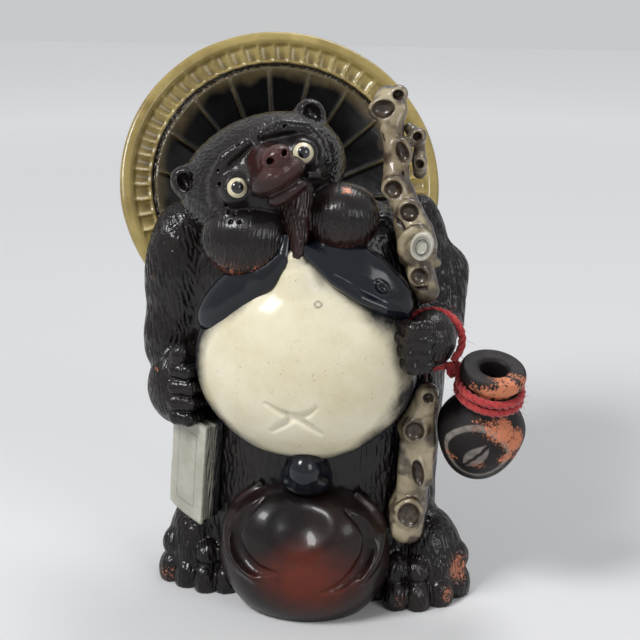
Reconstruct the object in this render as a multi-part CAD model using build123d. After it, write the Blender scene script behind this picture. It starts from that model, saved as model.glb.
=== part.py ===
from build123d import *

import math
import os

# Tanuki statue: a hollow clay figure, press-moulded and luted together from separate pieces.
#
# The figure faces -Y and stands on z = 0. It wears a round hat on the back of its head, leans on
# a gnarled staff, carries an account book, and a flask hangs on a cord from its left hand.
# The figure's own right side is at -X. Sizes are in millimetres.
#
# Each clay piece is cut back to the faces of the pieces that it is luted on. The flask and its
# cord are loose: the cord's loop slides round the left hand, the flask rocks on the knot and spins
# in the cord's collar.

# The trunk, an open-bottomed shell in a front and a back half. Other places follow its sizes.
body_half_width = 84.0
body_half_depth = 54.0
body_height = 252.0
body_wall = 8.0
vent_radius = 3.0
# Each row of the outline is height, width, depth and shift to the back
body_outline_shares = (
    (0.00, 0.97, 1.04, 0.06),
    (0.12, 0.92, 1.01, 0.06),
    (0.30, 0.94, 1.00, 0.06),
    (0.50, 0.97, 1.00, 0.05),
    (0.68, 1.00, 0.96, 0.03),
    (0.82, 0.96, 0.86, -0.02),
    (0.93, 0.76, 0.68, -0.06),
    (1.00, 0.40, 0.38, -0.08),
)
seam_share = 0.12

# The belly, a dome luted on the front
belly_half_width = 67.0
belly_half_depth = 44.0
belly_half_height = 61.0
belly_place_shares = (0.01, -0.70, 0.62)
navel_half_width = 13.5
navel_half_height = 8.0
navel_groove_radius = 1.6
navel_tip_radius = 0.6
navel_place_shares = (-0.02, -0.34)

# The head, rolled, lifted and turned to look up at the viewer
head_half_width = 51.0
head_half_depth = 50.0
head_half_height = 37.0
head_wall = 7.0
head_place_shares = (-0.35, -0.22, 1.04)
head_turn = 17.0
head_lift = -17.0
head_roll = -28.0
skull_roll = 8.0

# Face pieces, placed in shares of the head's half sizes: across, forward, up
muzzle_length = 31.0
muzzle_root_width = 25.0
muzzle_root_height = 17.0
muzzle_lip_width = 17.5
muzzle_lip_height = 12.0
muzzle_tip_width = 9.5
muzzle_tip_height = 6.5
muzzle_root_shares = (0.0, 0.62, -0.06)
muzzle_lip_shares = (0.62, -0.13)
muzzle_tip_shares = (1.0, 0.07)
nose_half_width = 8.5
nose_half_depth = 6.0
nose_half_height = 5.5
nose_rise = 2.2
nostril_radius = 1.7
nostril_spread_share = 0.48
jaw_half_width = 13.0
jaw_half_depth = 13.0
jaw_half_height = 8.0
jaw_place_shares = (-0.02, 0.98, -0.52)
eye_radius = 6.6
eye_bulge = 4.6
eye_place_shares = (0.44, 0.89, 0.02)
pupil_radius = 3.4
pupil_bulge = 2.2
pupil_sink = 1.1
brow_radius = 3.2
brow_path_shares = ((0.12, 0.80, 0.60), (0.40, 0.68, 0.66), (0.66, 0.58, 0.46))
ear_half_width = 12.0
ear_half_depth = 8.0
ear_half_height = 13.0
ear_wall = 3.5
ear_place_shares = (0.90, 0.05, 0.42)

# Cheeks, throat and the smooth lapels below them
right_cheek_half_width = 27.0
right_cheek_half_depth = 25.0
right_cheek_half_height = 23.5
right_cheek_place_shares = (-0.415, -0.76, 0.925)
left_cheek_half_width = 20.0
left_cheek_half_depth = 22.0
left_cheek_half_height = 20.5
left_cheek_place_shares = (0.27, -0.72, 0.975)
throat_half_width = 12.0
throat_half_depth = 16.0
throat_half_height = 30.0
throat_place_shares = (-0.05, -0.80, 0.945)
lapel_half_length = 37.0
lapel_half_width = 14.0
lapel_half_depth = 15.0
right_lapel_place_shares = (-0.43, -0.90, 0.805)
left_lapel_place_shares = (0.39, -0.90, 0.835)
right_lapel_slope = -41.0
left_lapel_slope = 35.0

# Arms and hands
right_arm_half_width = 25.0
right_arm_half_depth = 27.0
right_arm_half_height = 50.0
right_arm_place_shares = (-0.94, -0.11, 0.775)
left_arm_half_width = 22.0
left_arm_half_depth = 26.0
left_arm_half_height = 54.0
left_arm_place_shares = (0.78, -0.02, 0.785)
wrist_radius = 12.5
wrist_offset = 6.2
right_hand_half_width = 20.0
right_hand_half_depth = 21.0
right_hand_half_height = 25.0
right_hand_place_shares = (-0.94, -0.60, 0.535)
left_hand_half_width = 15.5
left_hand_half_depth = 18.0
left_hand_half_height = 17.4
left_hand_place_shares = (0.90, -0.84, 0.70)
finger_radius = 5.4
finger_half_length = 8.1
finger_half_height = 4.9
finger_count = 4
finger_spread_share = 0.62
finger_reach_share = 0.72
finger_side_share = 0.4

# The hat, a pleated rim luted round a shallow cone
hat_radius = 101.0
hat_wall = 7.0
hat_crown_depth = 56.0
hat_rim_width = 20.5
hat_rim_rise = 4.5
hat_lip_width = 6.5
hat_lip_rounding = 2.6
hat_lip_drop = 1.3
hat_place_shares = (-0.306, 0.648, 0.9935)
hat_turn = 14.0
hat_lean = 30.0
pleat_count = 56
pleat_radius = 5.6
pleat_depth = 2.0
pleat_margin = 1.0
string_hole_radius = 3.2
string_hole_ring_share = 0.86
string_hole_angle = 196.0

# The staff, in an upper run from the hat to the fist and a lower run to the foot
upper_staff_path_shares = (
    (0.545, 0.00, 1.214),
    (0.585, -0.14, 1.125),
    (0.635, -0.24, 1.060),
    (0.665, -0.36, 1.025),
    (0.705, -0.46, 0.980),
    (0.790, -0.60, 0.915),
    (0.850, -0.66, 0.830),
)
upper_staff_radii_shares = (1.15, 0.86, 0.80, 1.05, 1.02, 1.30, 1.00)
lower_staff_path_shares = (
    (0.870, -0.78, 0.560),
    (0.785, -0.70, 0.465),
    (0.820, -0.68, 0.365),
    (0.760, -0.74, 0.265),
    (0.745, -0.78, 0.190),
)
lower_staff_radii_shares = (0.90, 1.22, 0.95, 1.35, 1.10)
staff_radius = 9.0
knot_cup_radius = 5.2
knot_cup_sink = 3.2
twig_radius = 4.6
twig_path_shares = ((0.70, 0.06, 1.150), (0.775, 0.08, 1.105), (0.800, 0.06, 1.050))
seal_half_width = 8.0
seal_half_height = 10.5
seal_thickness = 2.6

# The account book under the right hand
book_width = 34.0
book_height = 66.0
book_cover_thickness = 2.4
book_page_thickness = 13.0
book_rounding = 3.0
book_turn = -38.0
book_slope = 7.0
book_place_shares = (-0.83, -0.62, 0.335)

# The pouch in front, its knob, the feet and the tail
pouch_half_width = 53.0
pouch_half_depth = 40.0
pouch_half_height = 47.0
pouch_place_shares = (0.01, -0.84, 0.13)
pouch_groove_radius = 3.4
right_groove_shares = ((-0.62, 0.86), (-1.0, 0.36), (-0.30, -0.06))
left_groove_shares = ((0.80, 0.66), (1.0, 0.20), (0.42, -0.48))
groove_span_share = 0.74
knob_half_width = 11.0
knob_half_depth = 13.0
knob_half_height = 12.5
knob_place_shares = (0.04, -1.08, 0.378)
foot_half_width = 25.0
foot_half_depth = 33.0
foot_half_height = 45.0
right_foot_place_shares = (-0.86, -0.20, 0.03)
left_foot_place_shares = (0.89, -0.26, 0.03)
toe_half_width = 7.0
toe_half_depth = 13.0
toe_half_height = 12.0
toe_set_back = 2.6
toe_middle_height = 5.0
toe_fan_shares = ((-0.56, 0.86), (-0.14, 1.00), (0.28, 0.94), (0.66, 0.70))
tail_half_width = 25.0
tail_half_depth = 17.0
tail_half_height = 44.0
tail_place_shares = (0.10, 1.02, 0.19)

# The cord: a loop round the left hand, a knot, and a collar round the flask's neck
cord_diameter = 5.0
cord_loop_radius = 18.0
cord_loop_back_share = 0.66
cord_loop_drop_share = 0.24
cord_knot_radius = 5.2
cord_knot_reach = 22.0
cord_knot_angle = -54.0
cord_turn_count = 2
cord_turn_gap = 0.6
cord_channel_clearance = 0.6
cord_running_clearance = 0.3

# The flask, turned round its own axis; heights run up from its foot
flask_height = 75.0
flask_radius = 26.5
flask_wall = 4.0
flask_foot_radius = 13.0
flask_neck_radius = 16.5
flask_lip_radius = 19.6
flask_mouth_radius = 8.0
flask_neck_height = 58.0
flask_belly_height = 32.0
flask_foot_slope_shares = (1, 0.7)
flask_shoulder_slope_shares = (-0.4, 1)
hollow_shoulder_slope_shares = (1, -1)
hollow_foot_slope_shares = (-1, -0.7)
flask_lean = 8.5
flask_nod = 15.0
flask_knot_angle = 18.4
flask_knot_sink_share = 1.0

# The trunk's hollow runs past its open base by this much
overrun = 4.0


def place(shares):
    """A point in the statue, from shares of the trunk's half width, half depth and height."""
    across, back, up = shares
    return Vector(across * body_half_width, back * body_half_depth, up * body_height)


def egg(half_sizes, turn=(0, 0, 0)):
    """An ellipsoid about the origin in two half shells, turned about its own centre."""
    front = Sphere(1, arc_size3=180, align=None)
    back = Rotation(0, 0, 180) * front
    return Rotation(*turn) * (scale(front, by=half_sizes) + scale(back, by=half_sizes))


def limb(points, radii):
    """A run of rounded cones through points, as one solid."""
    solid = None
    for point, radius in zip(points, radii):
        ball = Pos(point) * Sphere(radius)
        solid = ball if solid is None else solid + ball
    for (start, low), (end, high) in zip(zip(points, radii), zip(points[1:], radii[1:])):
        way = end - start
        seat = (Align.CENTER, Align.CENTER, Align.MIN)
        if low == high:
            bone = Cylinder(low, way.length, align=seat)
        else:
            bone = Cone(low, high, way.length, align=seat)
        solid = solid + Plane(origin=start, z_dir=way) * bone
    return solid


def cut(solid, *others):
    """The largest solid that is left when the others' space is taken out."""
    for other in others:
        solid = solid - other
    return max(solid.solids(), key=lambda s: s.volume)


def above_ground(solid):
    """Cuts off what reaches below the surface that the statue stands on."""
    slab_side = 2 * (body_height + hat_radius)
    slab = Box(slab_side, slab_side, slab_side, align=(Align.CENTER, Align.CENTER, Align.MAX))
    return cut(solid, slab)


def trunk(inset):
    """The trunk's outer form, or the form of its hollow when inset by the wall."""
    rings = []
    for height, width, depth, shift in body_outline_shares:
        z = height * (body_height - inset)
        if inset and height == 0:
            z = -overrun
        ring = Ellipse(width * body_half_width - inset, depth * body_half_depth - inset)
        rings.append(Pos(0, shift * body_half_depth, z) * ring)
    return loft(rings)


body_form = trunk(0)
body_hollow = trunk(body_wall)

# Head frame: local x is the head's left, -y its forward direction and z its up
head_frame = (
    Pos(place(head_place_shares))
    * Rotation(0, 0, head_turn)
    * Rotation(head_lift, 0, 0)
    * Rotation(0, head_roll, 0)
)


def on_head(across, forward, up):
    """A point in the head's frame, from shares of its half sizes."""
    return Vector(across * head_half_width, -forward * head_half_depth, up * head_half_height)


head_form = head_frame * egg((head_half_width, head_half_depth, head_half_height), (0, skull_roll, 0))
head_hollow = head_frame * egg(
    (head_half_width - head_wall, head_half_depth - head_wall, head_half_height - head_wall),
    (0, skull_roll, 0),
)
eye_forms = {}
pupil_forms = {}
for side, sign in (("right", -1), ("left", 1)):
    across, forward, up = eye_place_shares
    eye_place = on_head(sign * across, forward, up)
    eye_forms[side] = head_frame * Pos(eye_place) * egg((eye_radius, eye_bulge, eye_radius))
    pupil_place = eye_place - Vector(0, eye_bulge - pupil_sink, 0)
    pupil_forms[side] = (
        head_frame * Pos(pupil_place) * egg((pupil_radius, pupil_bulge, pupil_radius))
    )

right_cheek_form = Pos(place(right_cheek_place_shares)) * egg(
    (right_cheek_half_width, right_cheek_half_depth, right_cheek_half_height)
)
left_cheek_form = Pos(place(left_cheek_place_shares)) * egg(
    (left_cheek_half_width, left_cheek_half_depth, left_cheek_half_height)
)
throat_form = Pos(place(throat_place_shares)) * egg(
    (throat_half_width, throat_half_depth, throat_half_height)
)
belly_sizes = (belly_half_width, belly_half_depth, belly_half_height)
belly_form = Pos(place(belly_place_shares)) * egg(belly_sizes)
belly_hollow = Pos(place(belly_place_shares)) * egg(tuple(size - body_wall for size in belly_sizes))


def muzzle():
    """The snout, a loft from the face to the nose through the lip."""
    root_x, root_y, root_z = muzzle_root_shares
    root = on_head(root_x, root_y, root_z)
    rings = []
    for (reach, rise), width, height in (
        ((0, 0), muzzle_root_width, muzzle_root_height),
        (muzzle_lip_shares, muzzle_lip_width, muzzle_lip_height),
        (muzzle_tip_shares, muzzle_tip_width, muzzle_tip_height),
    ):
        forward = reach * (muzzle_length + muzzle_tip_height)
        middle = root + Vector(0, -forward, rise * head_half_height)
        rings.append(Plane(origin=middle, x_dir=(1, 0, 0), z_dir=(0, -1, 0)) * Ellipse(width, height))
    return head_frame * loft(rings)


muzzle_form = muzzle()
nose_place = on_head(*muzzle_root_shares) + Vector(
    0, -muzzle_length - muzzle_tip_height, muzzle_tip_shares[1] * head_half_height + nose_rise
)
nose_form = head_frame * Pos(nose_place) * egg((nose_half_width, nose_half_depth, nose_half_height))
jaw_form = head_frame * Pos(on_head(*jaw_place_shares)) * egg(
    (jaw_half_width, jaw_half_depth, jaw_half_height)
)

# Hat frame: local z points back through the crown, and the rim's front lip lies on z = 0
hat_frame = (
    Pos(place(hat_place_shares)) * Rotation(0, 0, hat_turn) * Rotation(-90 - hat_lean, 0, 0)
)
rim_inner_radius = hat_radius - hat_rim_width


def turned(points):
    """The solid that an outline of radius and height makes round the z axis."""
    outline = Polyline(*[(radius, 0, height) for radius, height in points], close=True)
    return revolve(make_face(outline), Axis.Z)


def hat_behind():
    """Everything from the hat's front face backwards, which other pieces are cut by."""
    depth = hat_crown_depth + hat_wall + hat_radius
    return turned(
        (
            (0, hat_crown_depth),
            (rim_inner_radius, hat_rim_rise),
            (hat_radius - hat_lip_width, 0),
            (hat_radius, 0),
            (hat_radius, depth),
            (0, depth),
        )
    )


hat_space = hat_frame * hat_behind()

arm_forms = {
    "right": Pos(place(right_arm_place_shares))
    * egg((right_arm_half_width, right_arm_half_depth, right_arm_half_height)),
    "left": Pos(place(left_arm_place_shares))
    * egg((left_arm_half_width, left_arm_half_depth, left_arm_half_height)),
}
left_hand_place = place(left_hand_place_shares)


def hand(half_sizes, middle, toward_belly):
    """A fist: a rounded palm with fingers that wrap round on the belly's side."""
    width, depth, height = half_sizes
    fist = Pos(middle) * egg(half_sizes)
    for i in range(finger_count):
        rise = (1 - 2 * i / (finger_count - 1)) * finger_spread_share
        reach = finger_reach_share * math.sqrt(1 - rise * rise)
        knuckle = middle + Vector(
            toward_belly * finger_side_share * width, -reach * depth, rise * height
        )
        fist = fist + Pos(knuckle) * egg((finger_half_length, finger_radius, finger_half_height))
    return fist


right_hand_form = hand(
    (right_hand_half_width, right_hand_half_depth, right_hand_half_height),
    place(right_hand_place_shares),
    1,
)
left_hand_form = hand(
    (left_hand_half_width, left_hand_half_depth, left_hand_half_height), left_hand_place, -1
)
wrist_end = Vector(
    left_hand_place.X - wrist_offset, place(left_arm_place_shares).Y, left_hand_place.Z
)
wrist_form = limb([left_hand_place, wrist_end], [wrist_radius, wrist_radius])

# The space that the cord's loop slides in, which the clay leaves free
cord_radius = cord_diameter / 2
loop_place = left_hand_place + Vector(
    0, cord_loop_back_share * left_hand_half_depth, -cord_loop_drop_share * left_hand_half_height
)
loop_frame = Pos(loop_place) * Rotation(90, 0, 0)
cord_channel = loop_frame * Torus(cord_loop_radius, cord_radius + cord_channel_clearance)


def lapel(shares, slope):
    return Pos(place(shares)) * egg(
        (lapel_half_length, lapel_half_depth, lapel_half_width), (0, slope, 0)
    )


right_lapel_form = lapel(right_lapel_place_shares, right_lapel_slope)
left_lapel_form = lapel(left_lapel_place_shares, left_lapel_slope)

pouch_sizes = (pouch_half_width, pouch_half_depth, pouch_half_height)
pouch_form = Pos(place(pouch_place_shares)) * egg(pouch_sizes)
knob_form = Pos(place(knob_place_shares)) * egg((knob_half_width, knob_half_depth, knob_half_height))


def front_of(sizes, middle, across, up):
    """The point on an ellipsoid's front at these shares of its half width and half height."""
    width, depth, height = sizes
    bulge = math.sqrt(max(0.0, 1 - across * across - up * up))
    return middle + Vector(across * width, -bulge * depth, up * height)


def groove(sizes, middle, shares, span, radius):
    """A round-bottomed groove along an arc through three points of an ellipsoid's front."""
    path = ThreePointArc(*[front_of(sizes, middle, span * a, span * b) for a, b in shares])
    ring = Plane(origin=path @ 0, z_dir=path % 0) * Circle(radius)
    return sweep(ring, path)


def foot(shares, outward):
    """A paw with four toes that fan out to the front."""
    middle = place(shares)
    paw = Pos(middle) * egg((foot_half_width, foot_half_depth, foot_half_height))
    for across, forward in toe_fan_shares:
        toe_place = Vector(
            middle.X + outward * across * foot_half_width,
            middle.Y - forward * (foot_half_depth - toe_set_back),
            toe_middle_height,
        )
        paw = paw + Pos(toe_place) * egg((toe_half_width, toe_half_depth, toe_half_height))
    return above_ground(paw)


right_foot_form = foot(right_foot_place_shares, -1)
left_foot_form = foot(left_foot_place_shares, 1)

pieces = {}

# Trunk shells with vents into the belly and the head
vent_axis = Plane(origin=place(belly_place_shares), z_dir=(0, -1, 0))
belly_vent = vent_axis * Cylinder(vent_radius, 2 * body_half_depth)
neck_middle = (place(head_place_shares) + Vector(0, 0, body_height)) / 2
neck_vent = Pos(neck_middle.X, place(head_place_shares).Y, body_height) * Cylinder(
    vent_radius, 2 * (body_wall + head_half_height)
)
shell = cut(body_form, body_hollow, belly_vent, neck_vent, cord_channel)
seam_y = seam_share * body_half_depth
half_side = 2 * body_height
front_space = Pos(0, seam_y, 0) * Box(
    half_side, half_side, half_side, align=(Align.CENTER, Align.MAX, Align.CENTER)
)
pieces["trunk_front"] = cut(shell & front_space)
pieces["trunk_back"] = cut(shell, front_space)

# Belly
navel_middle = place(belly_place_shares)
navel_arms = []
navel_across, navel_up = navel_place_shares
for tilt_x, tilt_z in ((-1, 1), (1, 1), (-1, -1), (1, -1)):
    inner = front_of(belly_sizes, navel_middle, navel_across, navel_up)
    outer = front_of(
        belly_sizes,
        navel_middle,
        navel_across + tilt_x * navel_half_width / belly_half_width,
        navel_up + tilt_z * navel_half_height / belly_half_height,
    )
    navel_arms.append(limb([inner, outer], [navel_groove_radius, navel_tip_radius]))
pieces["belly"] = cut(belly_form, body_form, belly_hollow, cord_channel, *navel_arms)

# Head and face
pieces["head"] = cut(
    head_form,
    body_form,
    hat_space,
    head_hollow,
    neck_vent,
    eye_forms["right"],
    eye_forms["left"],
)
pieces["right_cheek"] = cut(right_cheek_form, head_form, body_form, belly_form)
pieces["left_cheek"] = cut(left_cheek_form, head_form, body_form, belly_form)
pieces["muzzle"] = cut(
    muzzle_form, head_form, right_cheek_form, left_cheek_form, eye_forms["right"], eye_forms["left"]
)
nostrils = [
    head_frame
    * Pos(nose_place + Vector(sign * nostril_spread_share * nose_half_width, -nose_half_depth, 0))
    * Sphere(nostril_radius)
    for sign in (-1, 1)
]
pieces["nose"] = cut(nose_form, muzzle_form, *nostrils)
pieces["lower_jaw"] = cut(jaw_form, muzzle_form, head_form, right_cheek_form, left_cheek_form)
pieces["throat"] = cut(
    throat_form, jaw_form, muzzle_form, head_form, right_cheek_form, left_cheek_form, body_form, belly_form
)
for side, sign in (("right", -1), ("left", 1)):
    pieces[side + "_eye"] = cut(eye_forms[side], pupil_forms[side])
    pieces[side + "_pupil"] = cut(pupil_forms[side])
    brow_path = ThreePointArc(*[on_head(sign * a, f, u) for a, f, u in brow_path_shares])
    brow_ring = Plane(origin=brow_path @ 0, z_dir=brow_path % 0) * Circle(brow_radius)
    brow_form = head_frame * sweep(brow_ring, brow_path)
    pieces[side + "_brow"] = cut(brow_form, head_form, eye_forms[side], muzzle_form, hat_space)
    ear_x, ear_y, ear_z = ear_place_shares
    ear_place = on_head(sign * ear_x, ear_y, ear_z)
    ear_form = head_frame * Pos(ear_place) * egg((ear_half_width, ear_half_depth, ear_half_height))
    ear_cup = (
        head_frame
        * Pos(ear_place - Vector(0, ear_wall, 0))
        * egg((ear_half_width - ear_wall, ear_half_depth, ear_half_height - ear_wall))
    )
    pieces[side + "_ear"] = cut(ear_form, head_form, ear_cup, hat_space, body_form, arm_forms[side])

# Lapels, arms and hands
pieces["right_arm"] = cut(
    arm_forms["right"], body_form, right_cheek_form, head_form, belly_form
)
left_arm_form = arm_forms["left"] + wrist_form
pieces["left_arm"] = cut(
    left_arm_form, body_form, left_cheek_form, head_form, belly_form, left_hand_form, cord_channel
)
pieces["right_hand"] = cut(right_hand_form, body_form, belly_form, arm_forms["right"])
pieces["left_hand"] = cut(left_hand_form, body_form, belly_form, cord_channel)
face_forms = (head_form, right_cheek_form, left_cheek_form, throat_form, jaw_form)
pieces["right_lapel"] = cut(
    right_lapel_form, body_form, belly_form, *face_forms, arm_forms["right"], right_hand_form
)
pieces["left_lapel"] = cut(
    left_lapel_form, body_form, belly_form, *face_forms, left_arm_form, left_hand_form, cord_channel
)

# Hat
crown = turned(
    (
        (0, hat_crown_depth),
        (rim_inner_radius, hat_rim_rise),
        (rim_inner_radius, hat_rim_rise + hat_wall),
        (0, hat_crown_depth + hat_wall),
    )
)
rim = turned(
    (
        (rim_inner_radius, hat_rim_rise),
        (hat_radius - hat_lip_width, 0),
        (hat_radius - hat_lip_rounding, -hat_lip_drop),
        (hat_radius, hat_lip_rounding),
        (hat_radius, hat_wall - hat_lip_rounding),
        (hat_radius - hat_lip_rounding, hat_wall),
        (rim_inner_radius, hat_rim_rise + hat_wall),
    )
)
pleat_run = hat_rim_width - hat_lip_width
pleat_slope = math.degrees(math.atan2(hat_rim_rise, pleat_run))
pleat_middle = rim_inner_radius + pleat_run / 2
pleat_cutter = (
    Pos(pleat_middle, 0, hat_rim_rise / 2 - pleat_radius + pleat_depth)
    * Rotation(0, 90 + pleat_slope, 0)
    * Cylinder(pleat_radius, pleat_run - 2 * pleat_margin)
)
rim = rim - [Rotation(0, 0, i * 360 / pleat_count) * pleat_cutter for i in range(pleat_count)]
string_hole = (
    Rotation(0, 0, string_hole_angle)
    * Pos(string_hole_ring_share * rim_inner_radius, 0, hat_crown_depth / 2)
    * Cylinder(string_hole_radius, 2 * hat_crown_depth)
)
hat_seats = (body_form, arm_forms["right"], left_arm_form)
pieces["hat_crown"] = cut(hat_frame * (crown - string_hole), *hat_seats)
pieces["hat_rim"] = cut(hat_frame * rim, *hat_seats)

# Staff, its side twig and the oval seal on it
upper_path = [place(shares) for shares in upper_staff_path_shares]
upper_radii = [share * staff_radius for share in upper_staff_radii_shares]
lower_path = [place(shares) for shares in lower_staff_path_shares]
lower_radii = [share * staff_radius for share in lower_staff_radii_shares]


def knot_cup(point, radius):
    """The hollow of a sawn-off branch on the staff's front."""
    reach = radius + knot_cup_radius - knot_cup_sink
    return Pos(point - Vector(0, reach, 0)) * Sphere(knot_cup_radius)


upper_staff_form = limb(upper_path, upper_radii)
lower_staff_form = limb(lower_path, lower_radii)
seal_middle = upper_path[5] - Vector(0, upper_radii[5], 0)
seal_plane = Plane(origin=seal_middle, x_dir=(1, 0, 0), z_dir=(0, -1, 0))
seal_form = seal_plane * extrude(
    Ellipse(seal_half_width, seal_half_height), seal_thickness / 2, both=True
)
upper_cups = [knot_cup(upper_path[i], upper_radii[i]) for i in (0, 3, 4, 6)]
lower_cups = [knot_cup(lower_path[i], lower_radii[i]) for i in (1, 3)]
staff_seats = (
    body_form,
    left_arm_form,
    left_hand_form,
    left_lapel_form,
    left_cheek_form,
    belly_form,
    cord_channel,
)
pieces["upper_staff"] = cut(upper_staff_form, *staff_seats, hat_space, seal_form, *upper_cups)
pieces["lower_staff"] = cut(lower_staff_form, *staff_seats, left_foot_form, pouch_form, *lower_cups)
twig_path = [place(shares) for shares in twig_path_shares]
twig_form = limb(twig_path, [twig_radius] * len(twig_path))
pieces["staff_twig"] = cut(twig_form, hat_space, upper_staff_form, left_arm_form)
pieces["staff_seal"] = cut(seal_form)

# Account book: covers round a block of pages
book_frame = (
    Pos(place(book_place_shares)) * Rotation(0, 0, book_turn) * Rotation(0, book_slope, 0)
)
page_form = book_frame * Box(book_width, book_page_thickness, book_height)
cover_middle = -(book_page_thickness + book_cover_thickness) / 2
cover_sheet = Box(
    book_width + book_cover_thickness, book_cover_thickness, book_height + book_cover_thickness
)
cover_form = book_frame * Pos(0, cover_middle, 0) * fillet(
    cover_sheet.edges().filter_by(Axis.Y), book_rounding
)
book_seats = (body_form, right_hand_form, arm_forms["right"], right_foot_form, belly_form)
pieces["book_pages"] = cut(page_form, *book_seats)
pieces["book_cover"] = cut(cover_form, *book_seats)

# Pouch, knob, feet and tail
grooves = [
    groove(pouch_sizes, place(pouch_place_shares), shares, groove_span_share, pouch_groove_radius)
    for shares in (right_groove_shares, left_groove_shares)
]
pieces["pouch"] = cut(above_ground(pouch_form), body_form, *grooves)
pieces["pouch_knob"] = cut(knob_form, body_form, belly_form, pouch_form)
pieces["right_foot"] = cut(right_foot_form, body_form, pouch_form)
pieces["left_foot"] = cut(left_foot_form, body_form, pouch_form)
tail_form = Pos(place(tail_place_shares)) * egg((tail_half_width, tail_half_depth, tail_half_height))
pieces["tail"] = cut(above_ground(tail_form), body_form)

# Cord loop and knot; the loop runs from the knot round the wrist and back to it
def on_loop(angle, reach):
    """A point in the loop's plane, at an angle from +X towards +Z and a reach from its middle."""
    turn = math.radians(angle)
    return loop_place + Vector(reach * math.cos(turn), 0, reach * math.sin(turn))


knot_place = on_loop(cord_knot_angle, cord_knot_reach)
knot_form = Pos(knot_place) * Sphere(cord_knot_radius)
pieces["cord_knot"] = cut(knot_form)
knot_room = math.degrees(math.asin((cord_knot_radius + cord_running_clearance) / cord_knot_reach))
loop_path = ThreePointArc(
    on_loop(cord_knot_angle + knot_room, cord_loop_radius),
    on_loop(cord_knot_angle + 180, cord_loop_radius),
    on_loop(cord_knot_angle - knot_room, cord_loop_radius),
)
loop_ring = Plane(origin=loop_path @ 0, z_dir=loop_path % 0) * Circle(cord_radius)
pieces["cord_loop"] = cut(sweep(loop_ring, loop_path))
print("loop", round(loop_path.length, 1), "mm long, radius", round(cord_loop_radius, 1), "mm")

# The cord's collar round the flask's neck, with the neck's middle at the origin. Each half turn
# is a half circle whose far end lies half a step lower, so that the half turns run on smoothly.
collar_radius = flask_neck_radius + cord_radius + cord_running_clearance
collar_step = cord_diameter + cord_turn_gap
collar_top = collar_step * cord_turn_count / 2
collar_reach = collar_top + cord_radius + cord_running_clearance
half_turns = []
for i in range(2 * cord_turn_count):
    side = 1 if i % 2 else -1
    start_z = collar_top - i * collar_step / 2
    end_z = start_z - collar_step / 2
    start = (side * collar_radius, 0, start_z)
    middle = (0, side * math.hypot(collar_radius, collar_step / 4), (start_z + end_z) / 2)
    half_turns.append(ThreePointArc(start, middle, (-side * collar_radius, 0, end_z)))
winding = Wire([edge for arc in half_turns for edge in arc.edges()])
winding_tube = sweep(Plane(origin=winding @ 0, z_dir=winding % 0) * Circle(cord_radius), winding)
print("collar", round(winding.length, 1), "mm long, least gap to itself", round(cord_turn_gap, 2), "mm")

# Flask, turned in the same frame
belly_z = flask_belly_height - flask_neck_height
top_z = flask_height - flask_neck_height
foot_z = -flask_neck_height
lip_middle_z = (collar_reach + top_z) / 2


def flask_profile():
    """The flask's outer line from the foot to the lip, then its mouth and hollow back down."""
    inner_radius = flask_radius - flask_wall
    inner_foot = (flask_foot_radius - flask_wall, foot_z + flask_wall)
    lines = [
        Line((0, foot_z), (flask_foot_radius, foot_z)),
        Spline(
            (flask_foot_radius, foot_z),
            (flask_radius, belly_z),
            (flask_neck_radius, -collar_reach),
            tangents=(flask_foot_slope_shares, flask_shoulder_slope_shares),
        ),
        Line((flask_neck_radius, -collar_reach), (flask_neck_radius, collar_reach)),
        ThreePointArc(
            (flask_neck_radius, collar_reach),
            (flask_lip_radius, lip_middle_z),
            (flask_neck_radius, top_z),
        ),
        Line((flask_neck_radius, top_z), (flask_mouth_radius, top_z)),
        Line((flask_mouth_radius, top_z), (flask_mouth_radius, -collar_reach)),
        Spline(
            (flask_mouth_radius, -collar_reach),
            (inner_radius, belly_z),
            inner_foot,
            tangents=(hollow_shoulder_slope_shares, hollow_foot_slope_shares),
        ),
        Line(inner_foot, (0, foot_z + flask_wall)),
        Line((0, foot_z + flask_wall), (0, foot_z)),
    ]
    return make_face(Plane.XZ * Wire([edge for line in lines for edge in line.edges()]))


# The flask hangs from the knot at the side of its neck, with its weight right below the knot
flask_turn = Rotation(0, flask_lean, 0) * Rotation(flask_nod, 0, 0)
flask_turned = flask_turn * revolve(flask_profile(), Axis.Z)
knot_arm = collar_radius + flask_knot_sink_share * cord_knot_radius
neck_turn = flask_turn * Rotation(0, 0, -flask_knot_angle)
knot_from_neck = (neck_turn * Pos(-knot_arm, 0, collar_top)).position
neck_place = Vector(
    knot_place.X - knot_from_neck.X,
    knot_place.Y - flask_turned.center(CenterOf.MASS).Y,
    knot_place.Z - knot_from_neck.Z,
)
pieces["flask"] = cut(Pos(neck_place) * flask_turned)
pieces["cord_collar"] = cut(Pos(neck_place) * neck_turn * winding_tube, knot_form)

os.makedirs("parts", exist_ok=True)
for name, solid in pieces.items():
    export_step(solid, f"parts/{name}.step")
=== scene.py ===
import math

import bpy
import numpy as np
from mathutils import Matrix, Vector


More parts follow.
